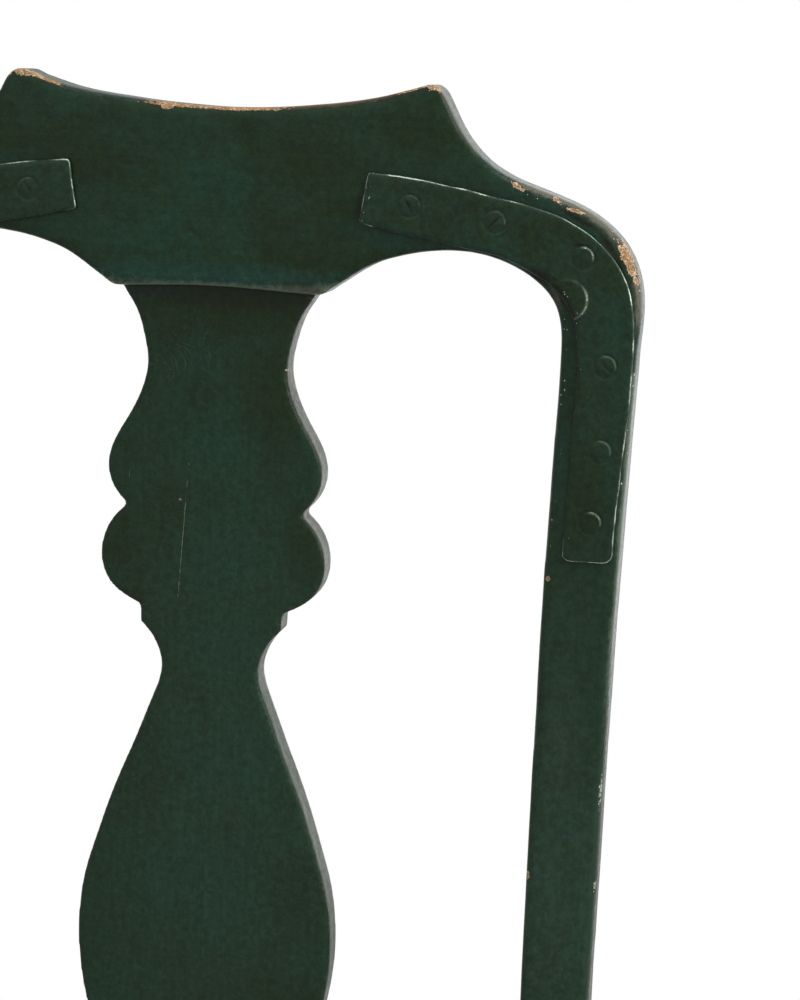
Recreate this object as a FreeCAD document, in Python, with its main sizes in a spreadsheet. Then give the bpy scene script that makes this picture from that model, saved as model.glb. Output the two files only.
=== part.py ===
"""High-back side chair: carved crest, baluster splat, bent posts, board seat, bow legs and turned stretchers.

Millimetres and degrees. +X is the sitter's left, the chair faces -Y, +Z is up. The back of the chair is drawn
in a frame of its own that stands on the seat and leans back by the rake.
"""
import FreeCAD, Part
import math
import os
import types
import Sketcher
from FreeCAD import Placement, Rotation, Vector

os.makedirs("parts", exist_ok=True)
doc = FreeCAD.newDocument("high_back_chair")


# Driving dimensions
driving_dimensions = {
    # the whole chair
    "seat_height": 460.0,
    "back_length": 661.2,
    "back_half_width": 207.3,
    "back_rake": 7.0,
    "seat_depth": 400.0,
    "front_half_width": 245.0,
    "joint_clearance": 0.2,
    "mortise_spare_depth": 2.0,
    "template_overrun": 60.0,
    "back_edge_radius": 2.0,
    # crest rail
    "crest_height": 101.3,
    "crest_thickness": 28.0,
    "crest_proud": 5.5,
    "crest_arm_drop": 30.0,
    "crest_tenon_width": 18.0,
    "crest_tenon_thickness": 10.0,
    "crest_tenon_length": 26.0,
    # splat
    "splat_half_width": 66.3,
    "splat_thickness": 19.0,
    "splat_bevel": 1.4,
    "splat_tenon_half_width": 40.0,
    "splat_tenon_length": 14.0,
    # shoe under the splat
    "shoe_height": 35.0,
    "shoe_margin": 5.0,
    "shoe_half_length": 66.0,
    # rear posts
    "post_inner_half_gap": 164.0,
    "post_outer_half_width": 197.0,
    "post_depth": 38.0,
    "post_foot_depth": 30.0,
    "post_kick": 45.0,
    "post_bend_drop": 40.0,
    "post_bevel": 2.2,
    # seat frame
    "rail_height": 70.0,
    "rail_thickness": 24.0,
    "rear_rail_setback": 1.5,
    "front_rail_setback": 6.5,
    "rail_tenon_thickness": 10.0,
    "rail_tenon_height": 50.0,
    "front_tenon_length": 22.0,
    "side_tenon_length": 17.0,
    "apron_rise": 22.0,
    "cleat_height": 22.0,
    "cleat_depth": 20.0,
    "cleat_half_length": 148.0,
    "block_height": 40.0,
    "block_reach": 58.0,
    # seat boards
    "board_thickness": 20.0,
    "board_overhang": 14.0,
    "board_gap": 0.6,
    "middle_board_half_width": 85.0,
    "board_corner_radius": 32.0,
    "board_edge_radius": 6.0,
    # front legs
    "leg_block_width": 44.0,
    "leg_block_height": 110.0,
    "foot_radius": 30.0,
    "foot_height": 24.0,
    "bracket_reach": 50.0,
    "bracket_drop": 38.0,
    "bracket_thickness": 18.0,
    # stretchers
    "stretcher_height": 165.0,
    "rear_stretcher_height": 215.0,
    "stretcher_radius": 14.0,
    "stretcher_end_radius": 8.0,
    # corner irons and their screws
    "iron_thickness": 3.0,
    "iron_bevel": 0.7,
    "screw_head_radius": 5.1,
    "screw_shank_radius": 2.3,
    "screw_length": 18.0,
    "screw_head_depth": 2.6,
    "screw_crown": 0.5,
    "screw_slot_width": 1.3,
    "screw_slot_depth": 1.1,
    # pegs, nails and block screws
    "peg_radius": 3.5,
    "peg_length": 30.0,
    "nail_head_radius": 3.6,
    "nail_head_height": 1.2,
    "nail_shank_radius": 1.4,
    "nail_length": 40.0,
    "block_screw_length": 46.0,
}


class Size:
    """A length together with the sheet formula that gives it."""

    def __init__(self, number, formula):
        self.number = float(number)
        self.formula = formula

    def joined(self, sign, other, number):
        return Size(number, "(" + self.formula + sign + other.formula + ")")

    def __add__(self, other):
        other = as_size(other)
        return self.joined(" + ", other, self.number + other.number)

    def __sub__(self, other):
        other = as_size(other)
        return self.joined(" - ", other, self.number - other.number)

    def __mul__(self, other):
        other = as_size(other)
        return self.joined(" * ", other, self.number * other.number)

    def __truediv__(self, other):
        other = as_size(other)
        return self.joined(" / ", other, self.number / other.number)

    def __neg__(self):
        return Size(-self.number, "(0 - " + self.formula + ")")

    def __radd__(self, other):
        return as_size(other) + self

    def __rsub__(self, other):
        return as_size(other) - self

    def __rmul__(self, other):
        return as_size(other) * self


def as_size(value):
    """A plain number becomes a size whose formula is that number."""
    if isinstance(value, Size):
        return value
    return Size(value, repr(float(value)))


def write_sheet(dimensions):
    """Write every driving dimension into the sheet and give it back as a size with its alias."""
    sheet = doc.addObject("Spreadsheet::Sheet", "Sizes")
    sizes = types.SimpleNamespace()
    for row, (alias, number) in enumerate(dimensions.items(), start=1):
        sheet.set("A" + str(row), alias.replace("_", " "))
        sheet.set("B" + str(row), str(number))
        sheet.setAlias("B" + str(row), alias)
        setattr(sizes, alias, Size(number, "Sizes." + alias))
    return sizes


size = write_sheet(driving_dimensions)
doc.recompute()


# Sketches, pads and booleans whose numbers are bound to the sheet
def pin(sketch, index, end, across, up):
    """Hold one end of a sketch line where two sizes say."""
    across = as_size(across)
    up = as_size(up)
    if across.number == 0:
        sketch.addConstraint(Sketcher.Constraint("PointOnObject", index, end, -2))
    else:
        row = sketch.addConstraint(Sketcher.Constraint("DistanceX", -1, 1, index, end, across.number))
        sketch.setExpression("Constraints[" + str(row) + "]", across.formula)
    if up.number == 0:
        sketch.addConstraint(Sketcher.Constraint("PointOnObject", index, end, -1))
    else:
        row = sketch.addConstraint(Sketcher.Constraint("DistanceY", -1, 1, index, end, up.number))
        sketch.setExpression("Constraints[" + str(row) + "]", up.formula)


def draw_loop(sketch, stretches):
    """Draw a closed outline. A stretch of two points is a line, one of more points is a smooth curve."""
    indices = []
    for points in stretches:
        places = [Vector(as_size(across).number, as_size(up).number, 0) for across, up in points]
        if len(places) == 2:
            line = Part.LineSegment(places[0], places[1])
        else:
            line = Part.BSplineCurve()
            line.interpolate(places)
        indices.append(sketch.addGeometry(line, False))
    for order, index in enumerate(indices):
        following = indices[(order + 1) % len(indices)]
        sketch.addConstraint(Sketcher.Constraint("Coincident", index, 2, following, 1))
        pin(sketch, index, 1, *stretches[order][0])


def polygon(points):
    """Straight stretches round a list of corners."""
    return [[point, points[(order + 1) % len(points)]] for order, point in enumerate(points)]


def new_body(name):
    return doc.addObject("PartDesign::Body", name)


def new_sketch(body, role, offset=0):
    """A sketch on one of the body's own origin planes, moved along that plane's normal."""
    sketch = body.newObject("Sketcher::SketchObject", body.Name + "_sketch")
    plane = [feature for feature in body.Origin.OriginFeatures if feature.Role == role][0]
    sketch.AttachmentSupport = [(plane, "")]
    sketch.MapMode = "FlatFace"
    sketch.setExpression("AttachmentOffset.Base.z", as_size(offset).formula)
    return sketch


def pad(body, role, offset, stretches, length, backwards=False):
    """Pad a closed outline away from one of the body's planes."""
    sketch = new_sketch(body, role, offset)
    draw_loop(sketch, stretches)
    feature = body.newObject("PartDesign::Pad", body.Name + "_pad")
    feature.Profile = sketch
    feature.Reversed = backwards
    feature.setExpression("Length", length.formula)
    body.recompute(True)
    return feature


def pocket(body, role, offset, stretches, length, backwards=False):
    """Cut a closed outline into the body, and make sure that it took wood away."""
    before = body.Shape.Volume
    sketch = new_sketch(body, role, offset)
    draw_loop(sketch, stretches)
    feature = body.newObject("PartDesign::Pocket", body.Name + "_pocket")
    feature.Profile = sketch
    feature.Reversed = backwards
    feature.setExpression("Length", length.formula)
    body.recompute(True)
    if body.Shape.Volume >= before:
        raise RuntimeError(body.Name + ": a pocket cut nothing")
    return feature


def ease_edges(body, kind, amount, chosen):
    """Round or bevel the edges whose middle point the test chooses: kind is Fillet or Chamfer."""
    base = body.Tip
    names = []
    for number, edge in enumerate(base.Shape.Edges, start=1):
        middle = edge.valueAt(edge.getParameterByLength(edge.Length / 2))
        if chosen(middle):
            names.append("Edge" + str(number))
    feature = body.newObject("PartDesign::" + kind, body.Name + "_" + kind.lower())
    feature.Base = (base, names)
    feature.setExpression("Radius" if kind == "Fillet" else "Size", amount.formula)
    body.recompute(True)
    return feature


def box(name, low, high):
    """A box between two corners."""
    feature = doc.addObject("Part::Box", name)
    for key, letter, start, end in zip(("Length", "Width", "Height"), "xyz", low, high):
        feature.setExpression(key, (as_size(end) - start).formula)
        feature.setExpression("Placement.Base." + letter, as_size(start).formula)
    return feature


def fused(name, *features):
    feature = doc.addObject("Part::MultiFuse", name)
    feature.Shapes = list(features)
    feature.Refine = True
    return feature


def cut(name, base, *tools):
    """Cut one tool after another out of a base. The last cut has the name."""
    for number, tool in enumerate(tools, start=1):
        feature = doc.addObject("Part::Cut", name if number == len(tools) else name + "_cut_" + str(number))
        feature.Base = base
        feature.Tool = tool
        base = feature
    return base


def common(name, base, tool):
    feature = doc.addObject("Part::Common", name)
    feature.Base = base
    feature.Tool = tool
    return feature


def bevelled_lengthwise(name, base, amount):
    """Bevel the edges that run up and down a long upright piece."""
    base.recompute(True)
    long_edges = []
    for number, edge in enumerate(base.Shape.Edges, start=1):
        run = edge.valueAt(edge.LastParameter) - edge.valueAt(edge.FirstParameter)
        if abs(run.z) > upright_share * run.Length:
            long_edges.append((number, amount.number, amount.number))
    feature = doc.addObject("Part::Chamfer", name)
    feature.Base = base
    feature.Edges = long_edges
    return feature


upright_share = 0.8


def mirrored(name, source):
    """The same piece on the other side of the chair."""
    feature = doc.addObject("Part::Mirroring", name)
    feature.Source = source
    feature.Normal = Vector(1, 0, 0)
    return feature


def lean_back(feature):
    """Stand a feature on the seat, leaning back by the rake."""
    feature.Placement = Placement(Vector(0, 0, 0), Rotation(Vector(-1, 0, 0), 1))
    feature.setExpression("Placement.Base.z", size.seat_height.formula)
    feature.setExpression("Placement.Rotation.Angle", size.back_rake.formula + " * 1 deg")
    return feature


def leaning_box(name, low, high):
    """A box in the leaning frame of the back."""
    length = [(as_size(end) - start).number for start, end in zip(low, high)]
    corner = Vector(*[as_size(start).number for start in low])
    feature = doc.addObject("Part::Box", name)
    feature.Length, feature.Width, feature.Height = length
    feature.Placement = back_frame.multiply(Placement(corner, Rotation()))
    for key, start, end in zip(("Length", "Width", "Height"), low, high):
        feature.setExpression(key, (as_size(end) - start).formula)
    return feature


rake = size.back_rake.number
back_frame = Placement(Vector(0, 0, size.seat_height.number), Rotation(Vector(-1, 0, 0), rake))
rake_sine = Size(math.sin(math.radians(rake)), "sin(" + size.back_rake.formula + " * 1 deg)")
rake_cosine = Size(math.cos(math.radians(rake)), "cos(" + size.back_rake.formula + " * 1 deg)")


def from_back(depth, height):
    """A point of the leaning back, in the chair's own depth and height."""
    chair_depth = depth * rake_cosine + height * rake_sine
    chair_height = size.seat_height + height * rake_cosine - depth * rake_sine
    return chair_depth, chair_height


def other_side(points):
    """The same points on the other side of the middle, in the opposite order."""
    return [(-across if isinstance(across, Size) else -1 * across, up) for across, up in reversed(points)]


def placed(shares, width, foot, height):
    """Turn shares of a width and of a height above a foot line into points."""
    return [(width * across, foot + height * up) for across, up in shares]


# Heights and depths that several pieces share
crest_foot = size.back_length - size.crest_height
joint_height = crest_foot - size.crest_arm_drop
post_front = size.crest_proud - size.post_depth
front_face = size.crest_proud - size.seat_depth
rail_top = size.seat_height - size.board_thickness
rail_bottom = rail_top - size.rail_height
post_bend = rail_bottom - size.post_bend_drop
leg_back = front_face + size.leg_block_width
leg_inner = size.front_half_width - size.leg_block_width
leg_middle = size.front_half_width - size.leg_block_width / 2
leg_middle_depth = front_face + size.leg_block_width / 2
post_middle = (size.post_inner_half_gap + size.post_outer_half_width) / 2
rear_rail_back = size.crest_proud - size.rear_rail_setback
rear_rail_front = rear_rail_back - size.rail_thickness
front_rail_front = front_face + size.front_rail_setback
front_rail_back = front_rail_front + size.rail_thickness


# Crest rail: the outline is in shares of the back's half width and of the crest's height over its lower lip
crest_top_shares = [
    (0, 0.857), (0.159, 0.872), (0.275, 0.898), (0.386, 0.938), (0.442, 0.971), (0.473, 0.990),
]
crest_tip_shares = [(0.473, 0.997), (0.4965, 1.0), (0.5145, 0.974)]
crest_shoulder_shares = [
    (0.5145, 0.974), (0.531, 0.925), (0.554, 0.833), (0.584, 0.741), (0.627, 0.652), (0.704, 0.566),
    (0.757, 0.529), (0.806, 0.494), (0.851, 0.458), (0.905, 0.393), (0.951, 0.304), (0.978, 0.213),
    (0.994, 0.118), (1.0, 0.025), (0.9985, -0.079), (0.992, -0.296),
]
crest_arch_shares = [
    (0.8148, -0.296), (0.8152, -0.168), (0.794, 0.012), (0.745, 0.1135), (0.6975, 0.170), (0.627, 0.216),
    (0.557, 0.227), (0.4645, 0.204), (0.3714, 0.145), (0.3087, 0.079), (0.2533, 0.0),
]


def arm_end(share):
    """An end point of the crest's arm, on the joint with the post."""
    return size.back_half_width * share, joint_height


arm_outer_share = crest_shoulder_shares[-1][0]
arm_inner_share = crest_arch_shares[0][0]
arm_middle = size.back_half_width * ((arm_outer_share + arm_inner_share) / 2)
crest_tenon_back = size.crest_proud - (size.crest_thickness - size.crest_tenon_thickness) / 2
crest_tenon_front = crest_tenon_back - size.crest_tenon_thickness


def crest_outline():
    top = placed(crest_top_shares, size.back_half_width, crest_foot, size.crest_height)
    tip = placed(crest_tip_shares, size.back_half_width, crest_foot, size.crest_height)
    shoulder = placed(crest_shoulder_shares[:-1], size.back_half_width, crest_foot, size.crest_height)
    shoulder.append(arm_end(arm_outer_share))
    arch = [arm_end(arm_inner_share)]
    arch += placed(crest_arch_shares[1:], size.back_half_width, crest_foot, size.crest_height)
    right = [tip, shoulder, [shoulder[-1], arch[0]], arch]
    left = [other_side(points) for points in reversed(right)]
    whole_top = other_side(top[1:]) + top
    lip = [arch[-1], left[0][0]]
    return [whole_top] + right + [lip] + left


def rectangle(half_width, middle, front, back):
    """Corners of an upright slot seen from above."""
    return polygon([
        (middle - half_width, front), (middle + half_width, front),
        (middle + half_width, back), (middle - half_width, back),
    ])


def make_crest_blank():
    body = lean_back(new_body("crest_blank"))
    pad(body, "XZ_Plane", -size.crest_proud, crest_outline(), size.crest_thickness)

    def rear_rim(point):
        return point.y > size.crest_proud.number - size.joint_clearance.number and off_joint(point)

    def front_rim(point):
        front = size.crest_proud.number - size.crest_thickness.number
        return point.y < front + size.joint_clearance.number and off_joint(point)

    def off_joint(point):
        return point.z > joint_height.number + size.joint_clearance.number

    for rim in (rear_rim, front_rim):
        ease_edges(body, "Fillet", size.back_edge_radius, rim)
    slot_half_width = size.splat_tenon_half_width + size.joint_clearance
    slack = size.joint_clearance
    slot = rectangle(slot_half_width, as_size(0), -size.splat_thickness - slack, slack)
    depth = size.splat_tenon_length + size.mortise_spare_depth
    pocket(body, "XY_Plane", crest_foot, slot, depth, backwards=True)
    for side in (-1, 1):
        slot = rectangle(
            size.crest_tenon_width / 2 + slack, arm_middle * side,
            crest_tenon_front - slack, crest_tenon_back + slack)
        depth = size.crest_tenon_length + size.mortise_spare_depth
        pocket(body, "XY_Plane", joint_height, slot, depth, backwards=True)
    return body


# Splat: shares of its half width, and of its height from the shoe to the crest
splat_vase_shares = [
    (0.845, 0.0), (0.700, 0.040), (0.615, 0.088), (0.605, 0.133), (0.679, 0.190), (0.845, 0.257),
    (0.973, 0.320), (1.0, 0.368), (0.959, 0.419), (0.852, 0.466), (0.7315, 0.512), (0.5837, 0.558),
    (0.4465, 0.603), (0.377, 0.636), (0.427, 0.658), (0.543, 0.676),
]
splat_low_lobe_shares = [
    (0.5475, 0.6933), (0.694, 0.7021), (0.810, 0.7158), (0.864, 0.7352), (0.855, 0.7545), (0.772, 0.7766),
    (0.656, 0.7895),
]
splat_high_lobe_shares = [
    (0.656, 0.7895), (0.786, 0.8072), (0.822, 0.8293), (0.769, 0.8524), (0.670, 0.8741), (0.564, 0.9034),
    (0.532, 0.9276), (0.5566, 0.9482), (0.6395, 0.9785), (0.784, 1.0),
]
splat_length = crest_foot - size.shoe_height


def splat_outline():
    right = []
    for shares in (splat_vase_shares, splat_low_lobe_shares, splat_high_lobe_shares):
        right.append(placed(shares, size.splat_half_width, size.shoe_height, splat_length))
    right.insert(1, [right[0][-1], right[1][0]])
    for corner, rise in ((right[0][0], -size.splat_tenon_length), (right[-1][-1], size.splat_tenon_length)):
        shoulder = (size.splat_tenon_half_width, corner[1])
        end = (size.splat_tenon_half_width, corner[1] + rise)
        if rise.number < 0:
            right = [[end, shoulder], [shoulder, corner]] + right
        else:
            right += [[corner, shoulder], [shoulder, end]]
    left = [other_side(points) for points in reversed(right)]
    return right + [[right[-1][-1], left[0][0]]] + left + [[left[-1][-1], right[0][0]]]


def make_splat():
    body = lean_back(new_body("splat"))
    pad(body, "XZ_Plane", 0, splat_outline(), size.splat_thickness)

    def rim(point):
        between = size.shoe_height.number + size.joint_clearance.number < point.z
        between = between and point.z < crest_foot.number - size.joint_clearance.number
        on_back = point.y > -size.joint_clearance.number
        on_front = point.y < size.joint_clearance.number - size.splat_thickness.number
        return between and (on_back or on_front)

    ease_edges(body, "Chamfer", size.splat_bevel, rim)
    return body


# The shoe's hollow moulding: shares of the way in from the base and up from the waist
shoe_waist_share = 0.25
shoe_hollow_shares = [(0.0, 0.0), (0.42, 0.16), (0.76, 0.48), (1.0, 1.0)]


def make_shoe():
    """The moulded block that holds the splat's foot on the rear rail."""
    back_foot, foot_height = from_back(as_size(0), size.shoe_height)
    front_foot = back_foot - size.splat_thickness
    top_back = back_foot + size.shoe_margin
    top_front = front_foot - size.shoe_margin
    base_back = rear_rail_back + size.rear_rail_setback
    base_front = rear_rail_front
    waist = size.seat_height + size.shoe_height * shoe_waist_share
    rise = foot_height - waist
    front_hollow = [(base_front + (top_front - base_front) * inward, waist + rise * up)
                    for inward, up in shoe_hollow_shares]
    profile = [
        [(base_front, size.seat_height), (base_back, size.seat_height)],
        [(base_back, size.seat_height), (base_back, waist)],
        [(base_back, waist), (top_back, foot_height)],
        [(top_back, foot_height), front_hollow[-1]],
        front_hollow[::-1],
        [front_hollow[0], (base_front, size.seat_height)],
    ]
    body = new_body("shoe_blank")
    pad(body, "YZ_Plane", -size.shoe_half_length, profile, size.shoe_half_length * 2)
    slack = size.joint_clearance
    slot = leaning_box(
        "shoe_slot",
        (-size.splat_tenon_half_width - slack, -size.splat_thickness - slack,
         size.shoe_height - size.splat_tenon_length - size.mortise_spare_depth),
        (size.splat_tenon_half_width + slack, slack, size.shoe_height + size.template_overrun))
    return cut("splat_shoe", body, slot)


# Rear posts: shares of the back's half width and of the joint's height over the seat
stile_inner_shares = [(0.8148, 1.0), (0.8036, 0.84), (0.7960, 0.69), (0.7930, 0.50)]
stile_outer_shares = [(0.992, 1.0), (0.9770, 0.84), (0.9668, 0.69), (0.9585, 0.50)]
upper_share = 0.6
straight_share = 0.2
lower_share = 0.067
kick_middle_share = 0.25
below_seat_shares = [0.1, 0.6, 1.3, 2.0]


def make_post():
    """Saw the post's front view and its side view out of one piece of wood."""
    straight = joint_height * straight_share
    inner = placed(stile_inner_shares, size.back_half_width, as_size(0), joint_height)
    outer = placed(stile_outer_shares, size.back_half_width, as_size(0), joint_height)
    for height in [straight] + [-size.seat_height * share for share in below_seat_shares]:
        inner.append((size.post_inner_half_gap, height))
        outer.append((size.post_outer_half_width, height))
    front_view = lean_back(new_body("post_front_view"))
    outline = [inner, [inner[-1], outer[-1]], outer[::-1], [outer[0], inner[0]]]
    pad(front_view, "XZ_Plane", -size.seat_depth, outline, size.seat_depth * 2)

    crest_front = size.crest_proud - size.crest_thickness
    back = []
    front = []
    for share in (1.0, upper_share, straight_share, lower_share):
        back.append(from_back(size.crest_proud, joint_height * share))
        front.append(from_back(post_front + (crest_front - post_front) * share, joint_height * share))
    for height in (rail_top, rail_bottom, post_bend):
        back.append((size.crest_proud, height))
        front.append((post_front, height))
    middle_kick = size.post_kick * kick_middle_share
    middle_taper = (size.post_depth - size.post_foot_depth) / 2
    back.append((size.crest_proud + middle_kick, post_bend / 2))
    front.append((post_front + middle_kick + middle_taper, post_bend / 2))
    back.append((size.crest_proud + size.post_kick, as_size(0)))
    front.append((size.crest_proud + size.post_kick - size.post_foot_depth, as_size(0)))
    side_view = new_body("post_side_view")
    outline = [back, [back[-1], front[-1]], front[::-1], [front[0], back[0]]]
    pad(side_view, "YZ_Plane", 0, outline, size.back_half_width + size.template_overrun)
    sawn = common("post_sawn", side_view, front_view)
    blank = bevelled_lengthwise("post_blank", sawn, size.post_bevel)
    tenon = leaning_box(
        "post_tenon",
        (arm_middle - size.crest_tenon_width / 2, crest_tenon_front, joint_height - size.mortise_spare_depth),
        (arm_middle + size.crest_tenon_width / 2, crest_tenon_back, joint_height + size.crest_tenon_length))
    return fused("post_with_tenon", blank, tenon)


# Seat frame
def side_line(depth):
    """The side rail's middle line: its distance from the middle of the chair at a depth."""
    along = (depth - post_front) / (leg_back - post_front)
    return post_middle + along * (leg_middle - post_middle)


def slanted_bar(name, half_thickness, back, front, bottom, top):
    """An upright bar that follows the side rail's line."""
    body = new_body(name)
    corners = polygon([
        (side_line(back) - half_thickness, back), (side_line(front) - half_thickness, front),
        (side_line(front) + half_thickness, front), (side_line(back) + half_thickness, back),
    ])
    pad(body, "XY_Plane", bottom, corners, top - bottom)
    return body


tenon_bottom = rail_bottom + (size.rail_height - size.rail_tenon_height) / 2
tenon_top = tenon_bottom + size.rail_tenon_height
tenon_half = size.rail_tenon_thickness / 2


def make_side_rail():
    rail = slanted_bar("side_rail_bar", size.rail_thickness / 2, post_front, leg_back, rail_bottom, rail_top)
    tenon = slanted_bar(
        "side_rail_tenon", tenon_half, post_front + size.side_tenon_length, leg_back - size.side_tenon_length,
        tenon_bottom, tenon_top)
    return fused("side_rail_blank", rail, tenon)


def make_side_mortise():
    slack = size.joint_clearance
    reach = size.side_tenon_length + slack
    return slanted_bar(
        "side_rail_mortise", tenon_half + slack, post_front + reach, leg_back - reach,
        tenon_bottom - slack, tenon_top + slack)


def cross_tenon(name, half_span, reach, middle, bottom, top, slack):
    """The through line of both end tenons of a rail that runs across the chair."""
    return box(
        name,
        (-half_span - reach, middle - tenon_half - slack, bottom - slack),
        (half_span + reach, middle + tenon_half + slack, top + slack))


rear_rail_middle = (rear_rail_back + rear_rail_front) / 2
front_rail_middle = (front_rail_front + front_rail_back) / 2
apron_shares = [
    (1.0, 0.0), (0.93, 0.40), (0.83, 0.82), (0.70, 1.0), (0.54, 0.90), (0.38, 0.55), (0.24, 0.20),
    (0.12, 0.04), (0.0, 0.0),
]


def make_rear_rail():
    board = box(
        "rear_rail_board",
        (-size.post_inner_half_gap, rear_rail_front, rail_bottom),
        (size.post_inner_half_gap, rear_rail_back, size.seat_height))
    tenon = cross_tenon(
        "rear_rail_tenon", size.post_inner_half_gap, size.front_tenon_length, rear_rail_middle,
        tenon_bottom, rail_top, as_size(0))
    return fused("rear_rail_blank", board, tenon)


def make_front_rail():
    """The apron, with its shaped lower edge."""
    body = new_body("front_rail_board")
    right = placed(apron_shares, leg_inner - size.bracket_reach, rail_bottom, size.apron_rise)
    curve = right + other_side(right[:-1])
    end = (leg_inner, rail_bottom)
    top = (leg_inner, rail_top)
    far_top = (-leg_inner, rail_top)
    far_end = (-leg_inner, rail_bottom)
    outline = [curve, [curve[-1], far_end], [far_end, far_top], [far_top, top], [top, end], [end, curve[0]]]
    pad(body, "XZ_Plane", -front_rail_back, outline, size.rail_thickness)
    tenon = cross_tenon(
        "front_rail_tenon", leg_inner, size.front_tenon_length, front_rail_middle,
        tenon_bottom, tenon_top, as_size(0))
    return fused("front_rail_blank", body, tenon)


def make_cleat():
    """The strip behind which the boards' back ends lie."""
    return box(
        "rear_cleat_blank",
        (-size.cleat_half_length, rear_rail_front - size.cleat_depth, rail_top - size.cleat_height),
        (size.cleat_half_length, rear_rail_front, rail_top))


def make_corner_block(name, corners):
    """A block that fills an inner corner of the seat frame, under the cleat's level."""
    body = new_body(name)
    top = rail_top - size.cleat_height
    pad(body, "XY_Plane", top - size.block_height, polygon(corners), size.block_height)
    return body


def rail_inner(depth):
    return side_line(depth) - size.rail_thickness / 2


def front_block_corners():
    reach_depth = leg_back + size.block_reach
    return [
        (leg_inner - size.block_reach, front_rail_back), (leg_inner, front_rail_back), (leg_inner, leg_back),
        (rail_inner(leg_back), leg_back), (rail_inner(reach_depth), reach_depth),
    ]


def rear_block_corners():
    reach_depth = post_front - size.block_reach
    return [
        (size.post_inner_half_gap - size.block_reach, rear_rail_front),
        (size.post_inner_half_gap, rear_rail_front), (size.post_inner_half_gap, post_front),
        (rail_inner(post_front), post_front), (rail_inner(reach_depth), reach_depth),
    ]


# Seat boards
def board_side(depth):
    """The seat's side edge: the side rail's outer face and the overhang."""
    return side_line(depth) + size.rail_thickness / 2 + size.board_overhang


board_front = front_face - size.board_overhang
board_back = rear_rail_front - size.joint_clearance
corner_share = 1 - math.sqrt(1 / 2)


def make_middle_board():
    body = new_body("seat_board_middle_blank")
    half = size.middle_board_half_width - size.board_gap / 2
    corners = polygon([(-half, board_front), (half, board_front), (half, board_back), (-half, board_back)])
    pad(body, "XY_Plane", rail_top, corners, size.board_thickness)

    def front_rim(point):
        return point.y < board_front.number + size.joint_clearance.number and abs(point.x) < half.number / 2

    ease_edges(body, "Fillet", size.board_edge_radius, front_rim)
    return body


def make_side_board():
    body = new_body("seat_board_side_blank")
    start = size.middle_board_half_width + size.board_gap / 2
    notch_side = size.post_inner_half_gap - size.joint_clearance
    notch_front = post_front - size.joint_clearance
    corner_start = board_front + size.board_corner_radius
    curve = [
        (board_side(corner_start) - size.board_corner_radius, board_front),
        (board_side(corner_start) - size.board_corner_radius * corner_share,
         board_front + size.board_corner_radius * corner_share),
        (board_side(corner_start), corner_start),
    ]
    outline = [
        [(start, board_front), curve[0]],
        curve,
        [curve[-1], (board_side(notch_front), notch_front)],
        [(board_side(notch_front), notch_front), (notch_side, notch_front)],
        [(notch_side, notch_front), (notch_side, board_back)],
        [(notch_side, board_back), (start, board_back)],
        [(start, board_back), (start, board_front)],
    ]
    pad(body, "XY_Plane", rail_top, outline, size.board_thickness)

    def outer_rim(point):
        level = min(abs(point.z - rail_top.number), abs(point.z - size.seat_height.number))
        at_front = point.y < corner_start.number
        at_side = point.x > board_side(notch_front).number - size.joint_clearance.number
        clear_of_seam = point.x > start.number + size.joint_clearance.number
        return level < size.joint_clearance.number and clear_of_seam and (at_front or at_side)

    ease_edges(body, "Fillet", size.board_edge_radius, outer_rim)
    return body


# Front legs: half width, squareness, outward lean and height of each section. The widths and leans are shares
# of the block's width, the heights are shares of the knee's height.
leg_section_shares = [
    (0.500, 1.32, 0.00, 1.00), (0.560, 1.22, 0.11, 0.915), (0.548, 1.18, 0.14, 0.80),
    (0.460, 1.14, 0.07, 0.645), (0.375, 1.10, -0.05, 0.50), (0.310, 1.06, -0.11, 0.33),
    (0.305, 1.03, -0.10, 0.19), (0.380, 1.00, -0.02, 0.065),
]
foot_lean_share = 0.07
knee_height = rail_top - size.leg_block_height
leg_socket_share = leg_section_shares[4][2]
foot_profile_shares = [(0.74, 0.0), (0.97, 0.22), (1.0, 0.50), (0.86, 0.80), (0.50, 1.0)]
section_points = 8


def section_curve(half_width, squareness, lean):
    """A closed curve between a circle and a square, leaning out over its corner."""
    middle = Vector((leg_middle + lean).number, (leg_middle_depth - lean).number, 0)
    curve = Part.BSplineCurve()
    points = []
    for step in range(section_points):
        angle = 2 * math.pi * step / section_points
        radius = half_width.number * (squareness if step % 2 else 1)
        points.append(middle + Vector(radius * math.cos(angle), radius * math.sin(angle), 0))
    curve.interpolate(Points=points, PeriodicFlag=True)
    return curve


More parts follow.
